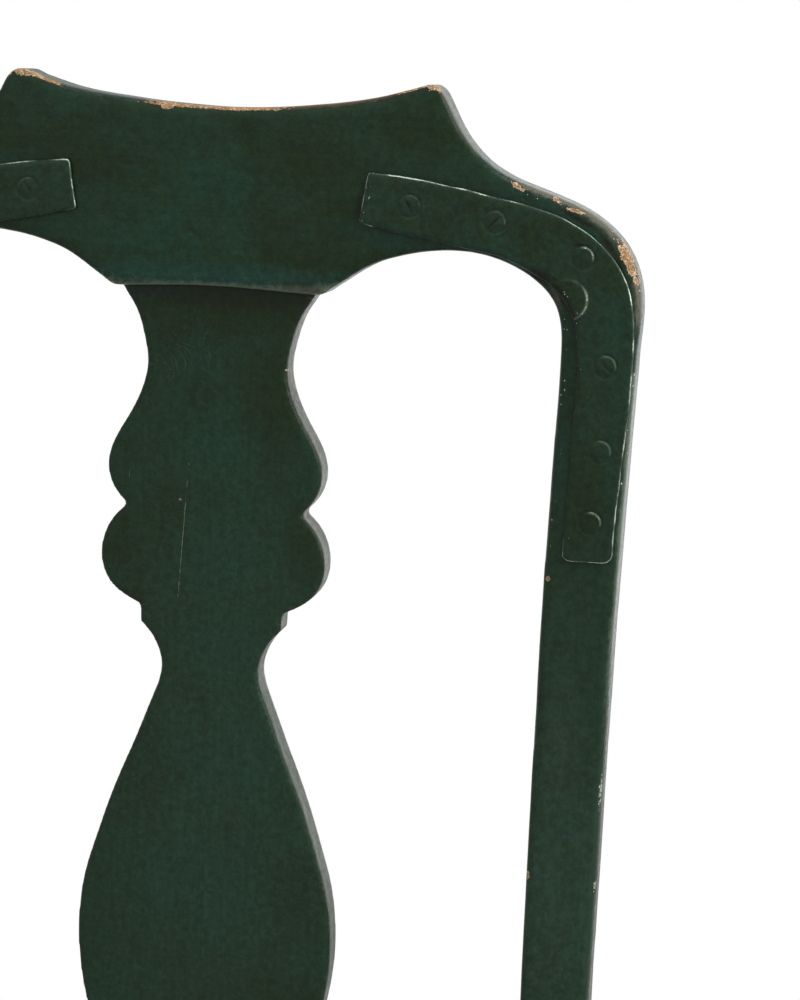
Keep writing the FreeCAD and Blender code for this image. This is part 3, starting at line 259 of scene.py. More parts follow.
crest_marks = {
    "tints": (
        ("olive", 0.85, 0.7, {
            "middle": (-45.0, 622.0, 24.0, 13.0, 0.0),
            "below the peak": (-97.0, 638.0, 20.0, 9.0, 0.0),
            "beside the iron": (-60.0, 598.0, 14.0, 9.0, 20.0),
            "other side": (70.0, 618.0, 30.0, 12.0, 8.0),
        }),
        ("teal_and_highlight", 0.55, 0.7, {
            "left of the middle": (-2.0, 612.0, 17.0, 10.0, 0.0),
            "below the iron": (-80.0, 590.0, 22.0, 4.5, 9.0),
            "along the foot": (-12.0, 567.0, 46.0, 4.0, 0.0),
            "other shoulder": (120.0, 606.0, 24.0, 9.0, -20.0),
        }),
        # Teal and rubbed paint along the crest's foot: a painted highlight on its lower rounded edge
        ("teal_and_highlight", 1.0, 0.7, {"highlight along the foot's edge": (4.0, 563.5, 66.0, 5.0, 0.0)}),
        ("rubbed_and_highlight", 0.20, 0.5, {"highlight along the foot's edge": (0.0, 561.0, 70.0, 1.4, 0.0)}),
        ("faded_and_highlight", 0.30, 0.6, {"right end of the foot": (-42.0, 560.5, 15.0, 2.6, 0.0)}),
        # Grime along the iron's edge on the slope and in the bend: painted shade where the iron meets the
        # wood, with some dirt
        ("grime_and_shade", 0.95, 0.5, {
            "along the slope": (-177.0, 600.0, 11.0, 1.3, 26.0),
            "above the chip": (-189.5, 590.0, 8.0, 1.3, 50.0),
            "beside the chip": (-196.6, 577.5, 9.0, 1.1, 64.0),
            "inside the bend": (-157.0, 573.6, 9.5, 2.6, 20.0),
            "below the bend": (-169.4, 563.5, 9.5, 1.3, 55.0),
            "along the slope, other side": (181.0, 598.0, 12.0, 1.6, -30.0),
        }),
        ("faded_and_highlight", 0.35, 0.6, {"edge below the bend": (-166.5, 563.3, 6.0, 1.2, 64.0)}),
        ("teal_and_highlight", 0.9, 0.6, {"edge above the bend": (-146.0, 579.0, 8.0, 1.6, 34.0)}),
        ("rubbed_and_highlight", 0.35, 0.6, {"edge above the bend": (-145.0, 579.6, 7.0, 1.2, 34.0)}),
        # A painted shadow beside the iron's end
        ("grime_and_shade", 0.6, 0.8, {"shadow left of the iron's end": (-70.2, 606.0, 1.3, 13.0, 10.0)}),
        ("old_wood", 0.30, 0.5, {"right end of the foot": (-47.0, 561.2, 11.0, 1.2, 4.0)}),
    ),
    "edges": (
        ("old_wood", 0.95, 0.14, 0.30, {
            "beside the bare strip": (-45.0, 650.0, 13.0, 9.0, 0.0),
            "towards the peak": (-72.0, 654.0, 20.0, 9.0, 0.0),
        }),
        # Faded paint on the rounded slopes, shoulders and the peak's outer edge: bleached paint and a
        # painted highlight
        ("faded_and_highlight", 0.85, 0.03, 0.34, {
            "slope": (-172.0, 603.0, 32.0, 13.0, 24.0),
            "shoulder": (-203.0, 576.0, 24.0, 12.0, 68.0),
            "slope, other side": (176.0, 601.0, 34.0, 13.0, -26.0),
        }),
        ("faded_and_highlight", 0.30, 0.10, 0.60, {"peak's outer edge": (-114.0, 642.0, 22.0, 6.0, 62.0)}),
        # Rubbed paint on the foot's rounding: a painted highlight
        ("rubbed_and_highlight", 0.85, 0.02, 0.30, {"foot": (0.0, 561.0, 78.0, 5.0, 0.0)}),
    ),
    "bare edges": {
        "middle": (2.0, 648.0, 35.0, 10.0, 0.0),
        "before the peak": (-97.0, 658.0, 11.0, 10.0, 0.0),
        "before the other peak": (92.0, 657.0, 14.0, 10.0, 0.0),
    },
    "chips": {
        "middle of the top edge": (25.5, 646.4, 3.2, 1.5, 0.0),
        "peak": (-103.5, 660.2, 5.0, 2.4, 0.0),
        "slope, upper": (-145.5, 615.0, 4.4, 1.1, 31.0),
        "slope, middle": (-164.2, 609.4, 2.4, 0.9, 36.0),
        "slope, lower": (-173.7, 604.9, 4.0, 1.0, 16.0),
        "shoulder": (-199.6, 582.4, 12.6, 2.5, 61.0),
        "slope, other side": (151.0, 612.6, 5.0, 1.2, -30.0),
        "shoulder, other side": (203.0, 568.0, 7.0, 1.6, -66.0),
        "peak, other side": (96.0, 659.2, 8.0, 1.7, 3.0),
    },
    "flecks": {
        "foot": (-50.0, 561.4, 9.0, 0.9, 0.0),
        "inside the bend": (-171.5, 545.0, 1.2, 12.0, 0.0),
        "slope": (-158.0, 608.0, 16.0, 1.4, 30.0),
    },
}
post_marks = {
    "tints": (
        # Grime beside the irons on the posts: a painted contact shadow
        ("grime_and_shade", 0.85, 0.4, {
            "beside the iron": (-201.1, 486.0, 0.7, 42.0, 3.6),
            "beside the iron, upper": (-203.3, 535.0, 0.6, 20.0, -1.0),
            "beside the other iron": (201.1, 486.0, 0.7, 42.0, -3.6),
        }),
        ("olive", 0.4, 0.8, {
            "below the iron": (-186.0, 380.0, 9.0, 18.0, 0.0),
            "beside the seat": (-184.0, 120.0, 16.0, 50.0, 0.0),
            "other post": (184.0, 300.0, 16.0, 60.0, 0.0),
        }),
        ("rubbed_and_highlight", 0.10, 0.9, {
            "lower": (-183.0, 268.0, 18.0, 50.0, 0.0),
            "below the iron": (-178.0, 340.0, 9.0, 30.0, 0.0),
        }),
        ("teal_and_highlight", 0.25, 0.9, {"lower": (-183.0, 300.0, 20.0, 110.0, 0.0)}),
        ("rubbed_and_highlight", 0.035, 0.9, {"upper": (-184.0, 340.0, 22.0, 150.0, 0.0)}),
        ("teal_and_highlight", 0.3, 0.8, {
            "beside the iron's foot": (-174.0, 478.0, 4.0, 24.0, 0.0),
            "other post, upper": (184.0, 460.0, 18.0, 40.0, 0.0),
        }),
    ),
    "edges": (
        ("rubbed_and_highlight", 0.65, 0.10, 0.50, {
            "outer edge": (-204.0, 475.0, 7.0, 95.0, 3.0),
            "other outer edge": (205.0, 480.0, 7.0, 60.0, -3.0),
        }),
    ),
    "chips": {
        "inner edge below the iron": (-168.9, 427.7, 0.9, 1.1, 0.0),
        "inner edge, low": (-165.5, 278.0, 0.8, 2.0, 0.0),
        "outer edge, other side": (199.6, 372.0, 1.0, 5.0, 0.0),
    },
    "pale chips": {
        "outer edge": (-199.9, 323.6, 0.9, 7.8, 1.0),
        "outer edge, low": (-199.3, 274.8, 0.8, 2.2, 0.0),
    },
    "dull": {
        "outer side": (-205.0, 250.0, 9.0, 140.0, 0.0),
        "other outer side": (205.0, 250.0, 9.0, 140.0, 0.0),
    },
    "flecks": {
        "inner edge": (-171.6, 520.0, 1.2, 26.0, 0.0),
        "outer edge": (-203.4, 505.0, 1.1, 34.0, 3.0),
        "inner edge, lower": (-169.5, 440.0, 1.0, 22.0, 1.0),
    },
}
splat_marks = {
    "tints": (
        ("olive", 0.9, 0.7, {
            "top": (-14.0, 549.0, 60.0, 13.0, 0.0),
            "upper right": (-30.0, 505.0, 17.0, 26.0, 10.0),
            "upper left": (18.0, 536.0, 16.0, 12.0, 0.0),
            "right edge of the lobe": (-46.0, 436.0, 8.0, 18.0, 0.0),
        }),
        ("teal_and_highlight", 0.6, 0.8, {
            "lower lobe": (-6.0, 425.0, 26.0, 24.0, 0.0),
            "beside the top": (8.0, 526.0, 12.0, 9.0, 0.0),
            "vase": (-10.0, 322.0, 36.0, 30.0, 0.0),
            "vase, low": (-6.0, 262.0, 40.0, 32.0, 0.0),
            "neck": (-6.0, 380.0, 18.0, 20.0, 0.0),
            "upper lobe": (0.0, 482.0, 18.0, 16.0, 0.0),
        }),
        ("rubbed_and_highlight", 0.05, 0.9, {"lower half": (-6.0, 310.0, 60.0, 140.0, 0.0)}),
        # Painted shade on the splat under the crest's lip
        ("grime_and_shade", 0.55, 0.6, {"shade under the crest": (-6.0, 557.5, 66.0, 7.5, 0.0)}),
    ),
    # Faded paint on the splat's right side: a painted highlight on that side's rounding
    "edges": (("faded_and_highlight", 0.6, 0.35, 0.8, {"right side": (-58.0, 410.0, 26.0, 170.0, 0.0)}),),
    "chips": {
        "upper lobe": (-35.8, 520.4, 1.6, 1.1, 20.0),
        "vase": (-60.0, 275.7, 1.0, 2.2, 30.0),
        "middle": (16.7, 453.5, 0.7, 0.4, 0.0),
    },
    "cracks": {"middle": (15.0, 433.0, 0.20, 42.0, 3.4)},
    "wrinkles": {"left of the top": (15.0, 527.0, 17.0, 12.0, 0.0)},
}
iron_marks = {
    "tints": (
        ("olive", 0.8, 0.7, {
            "right of the second screw": (-152.0, 594.0, 10.0, 7.0, 20.0),
            "on the swelling": (-171.0, 563.0, 8.0, 8.0, 0.0),
            "foot": (-186.0, 470.0, 9.0, 20.0, 0.0),
            "above the shoulder's screw": (-176.0, 592.0, 7.0, 3.0, 30.0),
        }),
        ("teal_and_highlight", 0.3, 0.7, {
            "end of the strap": (-84.0, 592.5, 12.0, 3.0, 9.0),
            "shoulder": (-194.0, 556.0, 6.0, 12.0, 10.0),
            "outer side, lower": (-196.0, 478.0, 3.5, 26.0, 3.0),
        }),
        # Grime along the inside of the bend: painted shade where the iron meets the wood, with some dirt
        ("grime_and_shade", 0.9, 0.45, {
            "bend, upper": (-159.8, 573.8, 7.0, 2.2, 24.0),
            "bend, middle": (-168.6, 565.5, 8.0, 2.0, 53.0),
            "bend, lower": (-174.0, 556.4, 6.0, 1.9, 64.0),
            "below the bend": (-176.6, 541.0, 14.0, 1.2, 82.0),
            "above the third screw": (-177.0, 588.8, 3.4, 1.0, 10.0),
        }),
        # Painted shade in the open screw slots
        ("grime_and_shade", 1.0, 0.35, {
            "shade in the first slot": (-94.5, 603.6, 4.2, 0.55, 57.0),
            "shade in the second slot": (-135.7, 598.0, 4.2, 0.55, 136.0),
        }),
        ("teal_and_highlight", 0.8, 0.6, {"edge above the bend": (-146.0, 580.0, 8.0, 1.4, 34.0)}),
    ),
    "flecks": {
        "bend": (-170.0, 566.0, 13.0, 0.9, 52.0),
        "below the bend": (-178.0, 541.0, 15.0, 1.0, 83.0),
    },
    "bright specks": {
        "end of the strap": (-74.4, 607.0, 1.9, 14.0, 8.0),
        "corner of the strap": (-76.0, 618.0, 2.6, 1.8, 10.0),
        "foot": (-181.0, 448.8, 3.0, 0.9, 0.0),
    },
}


# Frames

def back_frame():
    """Places in the back, with z along it and y out of its rear face, to places in the room."""
    return Matrix.Translation(shape().back_foot) @ Matrix.Rotation(-shape().back_lean, 4, "X")


# Meshes

def points_of(mesh):
    values = np.empty(len(mesh.vertices) * 3)
    mesh.vertices.foreach_get("co", values)
    return values.reshape(-1, 3)


def normals_of(mesh):
    values = np.empty(len(mesh.vertices) * 3)
    mesh.vertex_normals.foreach_get("vector", values)
    return values.reshape(-1, 3)


def edges_of(mesh):
    values = np.empty(len(mesh.edges) * 2, dtype=np.int32)
    mesh.edges.foreach_get("vertices", values)
    return values.reshape(-1, 2)


def move_points(mesh, points):
    mesh.vertices.foreach_set("co", points.ravel())
    mesh.update()


def smoothstep(values, low, high):
    share = np.clip((values - low) / (high - low), 0.0, 1.0)
    return share * share * (3.0 - 2.0 * share)


def between(values, ends):
    """Rises from 0 to 1 from the first of two places in millimetres to the second."""
    return smoothstep(values, ends[0] * MM, ends[1] * MM)


def line(values, middle, width):
    """1 in the middle of a line, fading to 0 on both sides of it."""
    return np.exp(-((values - middle) / width) ** 2)


def around(edges, values):
    """The mean of each vertex's neighbours."""
    first, second = edges.T
    many = len(values)
    count = np.maximum(np.bincount(edges.ravel(), minlength=many), 1)
    columns = [np.bincount(first, column[second], many) + np.bincount(second, column[first], many)
               for column in values.reshape(many, -1).T]
    return (np.array(columns) / count).T.reshape(values.shape)


def eased(mesh, rounds, share=None):
    """Softens the edges, everywhere or by the share that each vertex is given."""
    edges = edges_of(mesh)
    points = points_of(mesh)
    weight = 0.5 if share is None else share[:, None] / 2
    for _ in range(rounds):
        points += (around(edges, points) - points) * weight
    move_points(mesh, points)


def proud(mesh, fineness, rounds=2):
    """How far each vertex stands out from its neighbours, in mesh sizes: high along worn edges."""
    edges = edges_of(mesh)
    points = points_of(mesh)
    values = ((points - around(edges, points)) * normals_of(mesh)).sum(axis=1) / fineness
    for _ in range(rounds):
        values = (values + around(edges, values)) / 2
    return values


def turned(mesh):
    """How far each vertex is turned away from a board's two faces: 0 on them, 1 on its sides."""
    values = 1.0 - np.abs(normals_of(mesh)[:, 1])
    return (values + around(edges_of(mesh), values)) / 2


def roughened(points, size, seed):
    """Smooth noise at each point, about -1 to 1, with swellings of the given size."""
    away = Vector((seed * 3.1, seed * 7.7, seed * 1.3))
    return np.array([noise.noise(Vector(point) / size + away) for point in points]) * 2


def keep(mesh, name, values):
    kind, key = ("FLOAT_VECTOR", "vector") if values.ndim == 2 else ("FLOAT", "value")
    mesh.attributes.new(name, kind, "POINT").data.foreach_set(key, values.ravel())


def skinned(name, nodes, local, fineness):
    """The CAD nodes as one closed skin, in the local frame."""
    copy = bmesh.new()
    for node in nodes:
        copy.from_mesh(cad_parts[node].data)
    bmesh.ops.remove_doubles(copy, verts=copy.verts, dist=weld)
    copy.transform(local.inverted())
    mesh = bpy.data.meshes.new(name)
    copy.to_mesh(mesh)
    copy.free()
    model = bpy.data.objects.new(name, mesh)
    bpy.context.collection.objects.link(model)
    skin = model.modifiers.new("skin", "REMESH")
    skin.mode = "VOXEL"
    skin.voxel_size = fineness
    made = bpy.data.meshes.new_from_object(model.evaluated_get(bpy.context.evaluated_depsgraph_get()))
    bpy.data.objects.remove(model)
    bpy.data.meshes.remove(mesh)
    made.materials.clear()
    return made


def weather(mesh, fineness, seed):
    """Nicks the edges, lets the faces swell and dip, and keeps the wear for the finish."""
    points = points_of(mesh)
    keep(mesh, "spot", points)
    wear = proud(mesh, fineness)
    keep(mesh, "wear", wear)
    keep(mesh, "turn", turned(mesh))
    nicks = smoothstep(roughened(points, nick_size, seed), 0.35, 0.9) * smoothstep(wear, 0.06, 0.2)
    swell = roughened(points, long_swell, seed + 1) + roughened(points, short_swell, seed + 2) * 0.35 - 0.9
    points += normals_of(mesh) * (swell * shape().unevenness - nicks * shape().nick_depth)[:, None]
    move_points(mesh, points)


def place_piece(name, mesh, local, material, nodes):
    """Puts a mesh into the room as a piece that stands for its CAD nodes."""
    mesh.transform(local)
    mesh.shade_smooth()
    mesh.materials.append(material)
    piece = bpy.data.objects.new(name, mesh)
    bpy.context.collection.objects.link(piece)
    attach(piece, "root")
    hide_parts(*nodes)


def wooden_piece(name, node, fineness, material):
    """A worn skin in the place of one wooden CAD node."""
    mesh = skinned(name, [node], Matrix(), fineness)
    eased(mesh, 2)
    weather(mesh, fineness, seed=len(name) + sum(map(ord, name)) % 17)
    place_piece(name, mesh, Matrix(), material, [node])


def sliced(mesh, cuts):
    """A closed copy of the part of a mesh that lies on the kept side of each plane."""
    part = bmesh.new()
    part.from_mesh(mesh)
    for place, outwards in cuts:
        geometry = part.verts[:] + part.edges[:] + part.faces[:]
        bmesh.ops.bisect_plane(part, geom=geometry, plane_co=place, plane_no=outwards, clear_outer=True)
        rim = [edge for edge in part.edges if edge.is_boundary]
        for edge in rim:
            edge.smooth = False
        bmesh.ops.holes_fill(part, edges=rim, sides=0)
    made = bpy.data.meshes.new(mesh.name)
    part.to_mesh(made)
    part.free()
    return made


# Finishes, with the scales of their noises in waves per metre

class Finish:
    """A material drawn up with nodes, with short calls for the ones that every finish uses."""

    def __init__(self, name):
        self.material = bpy.data.materials.new(name)
        self.material.use_nodes = True
        self.tree = self.material.node_tree
        self.tree.nodes.clear()

    def node(self, kind, **settings):
        made = self.tree.nodes.new(kind)
        for key, value in settings.items():
            setattr(made, key, value)
        return made

    def join(self, value, socket):
        if isinstance(value, bpy.types.NodeSocket):
            self.tree.links.new(value, socket)
        elif socket.type == "RGBA":
            socket.default_value = (*value, 1.0)
        else:
            socket.default_value = value

    def maths(self, operation, *values):
        node = self.node("ShaderNodeMath", operation=operation)
        for value, socket in zip(values, node.inputs):
            self.join(value, socket)
        return node.outputs[0]

    def times(self, first, second):
        return self.maths("MULTIPLY", first, second)

    def step(self, value, low, high, start=0.0, end=1.0):
        node = self.node("ShaderNodeMapRange", interpolation_type="SMOOTHSTEP")
        for given, socket in zip((value, low, high, start, end), node.inputs):
            self.join(given, socket)
        return node.outputs[0]

    def mix(self, share, first, second, blend="MIX"):
        node = self.node("ShaderNodeMix", data_type="RGBA", blend_type=blend)
        self.join(share, node.inputs[0])
        self.join(first, node.inputs[6])
        self.join(second, node.inputs[7])
        return node.outputs[2]

    def noise(self, place, scale, detail=3.0, roughness=0.5, distortion=0.0):
        node = self.node("ShaderNodeTexNoise")
        self.join(place, node.inputs["Vector"])
        node.inputs["Scale"].default_value = scale
        node.inputs["Detail"].default_value = detail
        node.inputs["Roughness"].default_value = roughness
        node.inputs["Distortion"].default_value = distortion
        return node.outputs["Fac"]

    def cells(self, place, scale, feature="F1"):
        node = self.node("ShaderNodeTexVoronoi", feature=feature)
        self.join(place, node.inputs["Vector"])
        node.inputs["Scale"].default_value = scale
        return node

    def specks(self, place, scale, radius, share):
        """Small round specks, in the given share of the cells."""
        cells = self.cells(place, scale)
        chance = self.node("ShaderNodeSeparateColor")
        self.join(cells.outputs["Color"], chance.inputs[0])
        size = self.times(self.step(chance.outputs[1], 0.0, 1.0, 0.4, 1.0), radius * scale)
        inside = self.maths("LESS_THAN", cells.outputs["Distance"], size)
        return self.times(inside, self.maths("GREATER_THAN", chance.outputs[0], 1.0 - share))

    def stretched(self, place, scale):
        node = self.node("ShaderNodeMapping")
        self.join(place, node.inputs["Vector"])
        node.inputs["Scale"].default_value = scale
        return node.outputs[0]

    def spot(self):
        node = self.node("ShaderNodeAttribute", attribute_name="spot")
        return node.outputs["Vector"]

    def room(self):
        return self.node("ShaderNodeTexCoord").outputs["Object"]

    def kept(self, name):
        return self.node("ShaderNodeAttribute", attribute_name=name).outputs["Fac"]

    def zone(self, place, marks, soft, ragged, spread):
        """1 in the marks, fading to 0 over the given share of their width, with a ragged outline."""
        near = self.maths("ADD", self.nearness(place, marks), self.step(ragged, 0.3, 0.7, -spread, spread))
        return self.step(near, -soft, soft)

    def nearness(self, place, marks, depth=mark_depth):
        """1 in the middle of the nearest mark, 0 on its outline and less outside, near the rear face."""
        nearest = None
        for across, up, half_length, half_width, turn in marks.values():
            node = self.node("ShaderNodeMapping", vector_type="TEXTURE")
            self.join(place, node.inputs["Vector"])
            node.inputs["Location"].default_value = (across * MM, mark_middle, up * MM)
            node.inputs["Rotation"].default_value = (0.0, math.radians(-turn), 0.0)
            node.inputs["Scale"].default_value = (half_length * MM, depth, half_width * MM)
            reach = self.node("ShaderNodeVectorMath", operation="LENGTH")
            self.join(node.outputs[0], reach.inputs[0])
            reach = reach.outputs["Value"]
            nearest = reach if nearest is None else self.maths("MINIMUM", nearest, reach)
        return self.maths("SUBTRACT", 1.0, nearest)

    def casts(self, base, *casts):
        """Lays colours over the base, each growing to its strength between two values of a noise."""
        for value, low, high, strength, cast in casts:
            base = self.mix(self.step(value, low, high, 0.0, strength), base, cast)
        return base

    def bumps(self, *layers):
        """The surface's direction under layers of bumps, each given by its height and its size."""
        normal = None
        for height, size in layers:
            node = self.node("ShaderNodeBump")
            node.inputs["Strength"].default_value = 1.0
            node.inputs["Distance"].default_value = size
            self.join(height, node.inputs["Height"])
            if normal is not None:
                self.join(normal, node.inputs["Normal"])
            normal = node.outputs[0]
        return normal

    def finish(self, base, roughness, normal, specular, metallic=0.0):
        shader = self.node("ShaderNodeBsdfPrincipled")
        self.join(base, shader.inputs["Base Color"])
        self.join(roughness, shader.inputs["Roughness"])
        self.join(normal, shader.inputs["Normal"])
        self.join(metallic, shader.inputs["Metallic"])
        shader.inputs["Specular IOR Level"].default_value = specular
        output = self.node("ShaderNodeOutputMaterial")
        self.join(shader.outputs[0], output.inputs[0])
        return self.material


def along(grain, fine, coarse):
    """Scale of a place so that a texture is drawn out along the grain."""
    return tuple(coarse if axis == grain else fine for axis in "xyz")


def tinted(made, base, place, ragged, tints):
    """Casts of colour and dirt over the given marks."""
    for tint, strength, soft, marks in tints:
        share = made.zone(place, marks, soft, ragged, soft * 0.6)
        base = made.mix(made.times(share, strength), base, getattr(colours(), tint))
    return base


def flecked(made, base, place, ragged, marks, share=0.34):
    """Small pale flecks within the given marks."""
    flecks = made.specks(place, 640.0, 0.42 * MM, share)
    flecks = made.times(flecks, made.zone(place, marks, 0.3, ragged, 0.5))
    return made.mix(flecks, base, colours().fleck)


def bared_wood(made, fibre, lumps):
    """Bare wood in the chips: streaked along the grain, with lumps of pale ground and old dirt."""
    tone = colours()
    streak = made.noise(fibre, 700.0, 4.0, 0.6)
    wood = made.mix(made.step(streak, 0.35, 0.7), tone.old_wood, tone.bare_wood)
    wood = made.mix(0.35, wood, tone.bare_wood)
    return made.casts(
        wood, (lumps, 0.54, 0.64, 0.6, tone.pale_chip), (lumps, 0.44, 0.34, 0.7, tone.old_wood))


def scratched(made, base, place, fibre):
    """Fine scratches along the grain, and pale and dark specks."""
    tone = colours()
    scratch = made.step(made.noise(fibre, 900.0, 2.0, 0.5), 0.70, 0.76)
    scratch = made.times(scratch, made.step(made.noise(place, 34.0, 3.0), 0.56, 0.68, 0.0, 0.4))
    base = made.mix(scratch, base, tone.rubbed_and_highlight)
    pale = made.specks(place, 150.0, 0.26 * MM, 0.06)
    dark = made.specks(made.stretched(place, (1.07, 1.0, 0.93)), 120.0, 0.42 * MM, 0.10)
    base = made.mix(made.times(dark, 0.6), base, (0.003, 0.005, 0.003))
    return made.mix(made.times(pale, 0.6), base, tone.rubbed_and_highlight)


def worn_edges(made, base, place, ragged, marks, kept_edge):
    """Rubs the edges of a skin down, and gives where they are bare."""
    tone = colours()
    rub_and_highlight = made.maths("ADD", made.kept("wear"), made.step(ragged, 0.3, 0.7, -0.07, 0.07))
    turn = made.maths("ADD", made.kept("turn"), made.step(ragged, 0.3, 0.7, -0.10, 0.10))
    base = made.casts(base, (rub_and_highlight, 0.10, 0.30, 0.55, tone.rubbed_and_highlight))
    for tint, strength, low, high, places in marks.get("edges", ()):
        zone = made.zone(place, places, 0.35, ragged, 0.2)
        share = made.times(made.step(turn, low, high, 0.0, strength), zone)
        base = made.mix(share, base, getattr(tone, tint))
    luck = made.step(made.noise(place, 26.0, 3.0, 0.6), kept_edge, kept_edge + 0.12)
    bare = made.step(made.times(rub_and_highlight, luck), 0.13, 0.17)
    if "bare edges" in marks:
        edge = made.times(made.step(turn, 0.20, 0.30), made.step(made.kept("turn"), 0.99, 0.93))
        edge = made.times(edge, made.zone(place, marks["bare edges"], 0.12, ragged, 0.25))
        bare = made.maths("MAXIMUM", bare, made.step(edge, 0.35, 0.55))
    return base, bare


def paint(name, grain, marks=None, on_mesh=True, kept_edge=0.60):
    """Dark green paint on wood: cast, brush marks, rubbed edges and chips. A low kept edge wears more."""
    tone = colours()
    marks = marks or {}
    made = Finish(name)
    place = made.spot() if on_mesh else made.room()
    fibre = made.stretched(place, along(grain, 1.0, 0.07))

    cast = made.noise(place, 15.0, 5.0, 0.62, 0.7)
    patch = made.noise(place, 62.0, 4.0, 0.6, 0.9)
    mottle = made.noise(place, 300.0, 5.0, 0.66, 0.5)
    streaks = made.noise(fibre, 430.0, 5.0, 0.62)
    ragged = made.noise(place, 260.0, 5.0, 0.68, 0.5)
    lumps = made.noise(place, 900.0, 4.0, 0.6)

    def torn(kind, depth, inwards, outwards):
        """The nearness of the marks of a kind, with a ragged outline."""
        near = made.nearness(place, marks[kind], depth)
        return made.maths("ADD", near, made.step(ragged, 0.3, 0.7, -inwards, outwards))

    base = made.casts(
        tone.green, (cast, 0.50, 0.70, 0.55, tone.teal_and_highlight), (cast, 0.48, 0.34, 0.8, tone.olive),
        (patch, 0.52, 0.70, 0.35, tone.teal_and_highlight), (patch, 0.46, 0.30, 0.6, tone.olive))
    base = tinted(made, base, place, ragged, marks.get("tints", ()))
    brushed = made.step(streaks, 0.3, 0.72, 0.91, 1.10)
    shade = made.times(made.step(mottle, 0.3, 0.72, 0.79, 1.27), brushed)
    base = scratched(made, made.mix(1.0, base, shade, "MULTIPLY"), place, fibre)

    bare = 0.0
    if on_mesh:
        base, bare = worn_edges(made, base, place, ragged, marks, kept_edge)
    if "flecks" in marks:
        base = flecked(made, base, place, ragged, marks["flecks"])
    wood = bared_wood(made, fibre, lumps)
    if "chips" in marks:
        near = torn("chips", chip_depth, 0.55, 0.55)
        chip = made.step(near, 0.0, 0.06)
        rim = made.times(chip, made.step(near, 0.4, 0.1))
        wood = made.mix(made.times(rim, 0.4), wood, tone.pale_chip)
        base = made.casts(base, (near, -0.22, -0.04, 0.75, tone.grime_and_shade))
        bare = made.maths("MAXIMUM", bare, chip)
    if "pale chips" in marks:
        near = torn("pale chips", pale_chip_depth, 0.7, 0.7)
        ground = made.mix(made.step(lumps, 0.42, 0.60), tone.olive, tone.fleck)
        base = made.casts(base, (near, 0.0, 0.12, 1.0, ground))
    if "cracks" in marks:
        near = torn("cracks", mark_depth, 0.6, 0.4)
        base = made.casts(base, (near, 0.0, 0.3, 0.24, tone.fleck))
    wrinkles = []
    if "wrinkles" in marks:
        contour = made.times(made.noise(place, 55.0, 2.0, 0.5, 1.5), 9.0)
        wrinkle = made.step(made.maths("PINGPONG", contour, 0.5), 0.38, 0.5)
        wrinkle = made.times(wrinkle, made.zone(place, marks["wrinkles"], 0.5, ragged, 0.6))
        base = made.mix(made.times(wrinkle, 0.14), base, tone.rubbed_and_highlight)
        wrinkles = [(wrinkle, 0.20 * MM)]
    base = made.mix(bare, base, wood)

    crackle = made.cells(place, 230.0, "DISTANCE_TO_EDGE").outputs["Distance"]
    crackle = made.step(crackle, 0.05, 0.0)
    crackle = made.times(crackle, made.step(made.noise(place, 19.0, 2.0), 0.58, 0.68))
    normal = made.bumps(
        (streaks, 0.07 * MM), (mottle, 0.20 * MM), (patch, 0.30 * MM), (crackle, -0.10 * MM), *wrinkles,
        (bare, -0.35 * MM))
    roughness = made.maths("ADD", made.step(mottle, 0.3, 0.7, 0.30, 0.44), made.times(bare, 0.3))
    if "dull" in marks:
        dull = made.times(made.zone(place, marks["dull"], 0.4, ragged, 0.2), 0.5)
        roughness = made.maths("ADD", roughness, dull)
    return made.finish(base, roughness, normal, specular=0.125)


def painted_iron(name, marks=None, on_mesh=True):
    """Green paint over hand-filed iron, with edges rubbed to the metal; the kept wear also holds painted
    highlights on the upper and outer edges.
    """
    tone = colours()
    marks = marks or {}
    made = Finish(name)
    place = made.spot() if on_mesh else made.room()
    cast = made.noise(place, 24.0, 4.0, 0.6, 0.8)
    patch = made.noise(place, 95.0, 4.0, 0.6, 0.8)
    mottle = made.noise(place, 330.0, 5.0, 0.66, 0.5)
    hammered = made.noise(place, 75.0, 3.0, 0.5)
    ragged = made.noise(place, 420.0, 5.0, 0.68, 0.4)
    base = made.casts(
        tone.iron_paint, (cast, 0.48, 0.68, 0.3, tone.teal_and_highlight), (cast, 0.48, 0.34, 0.6, tone.olive),
        (patch, 0.50, 0.66, 0.25, tone.teal_and_highlight), (patch, 0.48, 0.34, 0.7, tone.olive))
    base = tinted(made, base, place, ragged, marks.get("tints", ()))
    base = made.mix(1.0, base, made.step(mottle, 0.3, 0.72, 0.72, 1.36), "MULTIPLY")
    pale = made.specks(place, 210.0, 0.28 * MM, 0.07)
    base = made.mix(made.times(pale, 0.5), base, tone.rubbed_and_highlight)
    bare = 0.0
    if on_mesh:
        # The kept wear holds painted highlights as well as wear, so these lighter and bare edges are partly
        # painted highlight
        rub_and_highlight = made.maths("ADD", made.kept("wear"), made.step(ragged, 0.3, 0.7, -0.10, 0.10))
        base = made.casts(base, (rub_and_highlight, 0.08, 0.45, 0.6, tone.rubbed_and_highlight))
        bare = made.step(rub_and_highlight, 0.42, 0.66, 0.0, 0.85)
    if "flecks" in marks:
        base = flecked(made, base, place, ragged, marks["flecks"])
    if "bright specks" in marks:
        base = flecked(made, base, place, ragged, marks["bright specks"], 0.85)
    base = made.mix(bare, base, tone.bare_iron_and_highlight)
    normal = made.bumps((hammered, 0.40 * MM), (patch, 0.25 * MM), (mottle, 0.10 * MM))
    roughness = made.step(mottle, 0.3, 0.7, 0.28, 0.42)
    return made.finish(base, roughness, normal, 0.135, made.times(bare, 0.4))


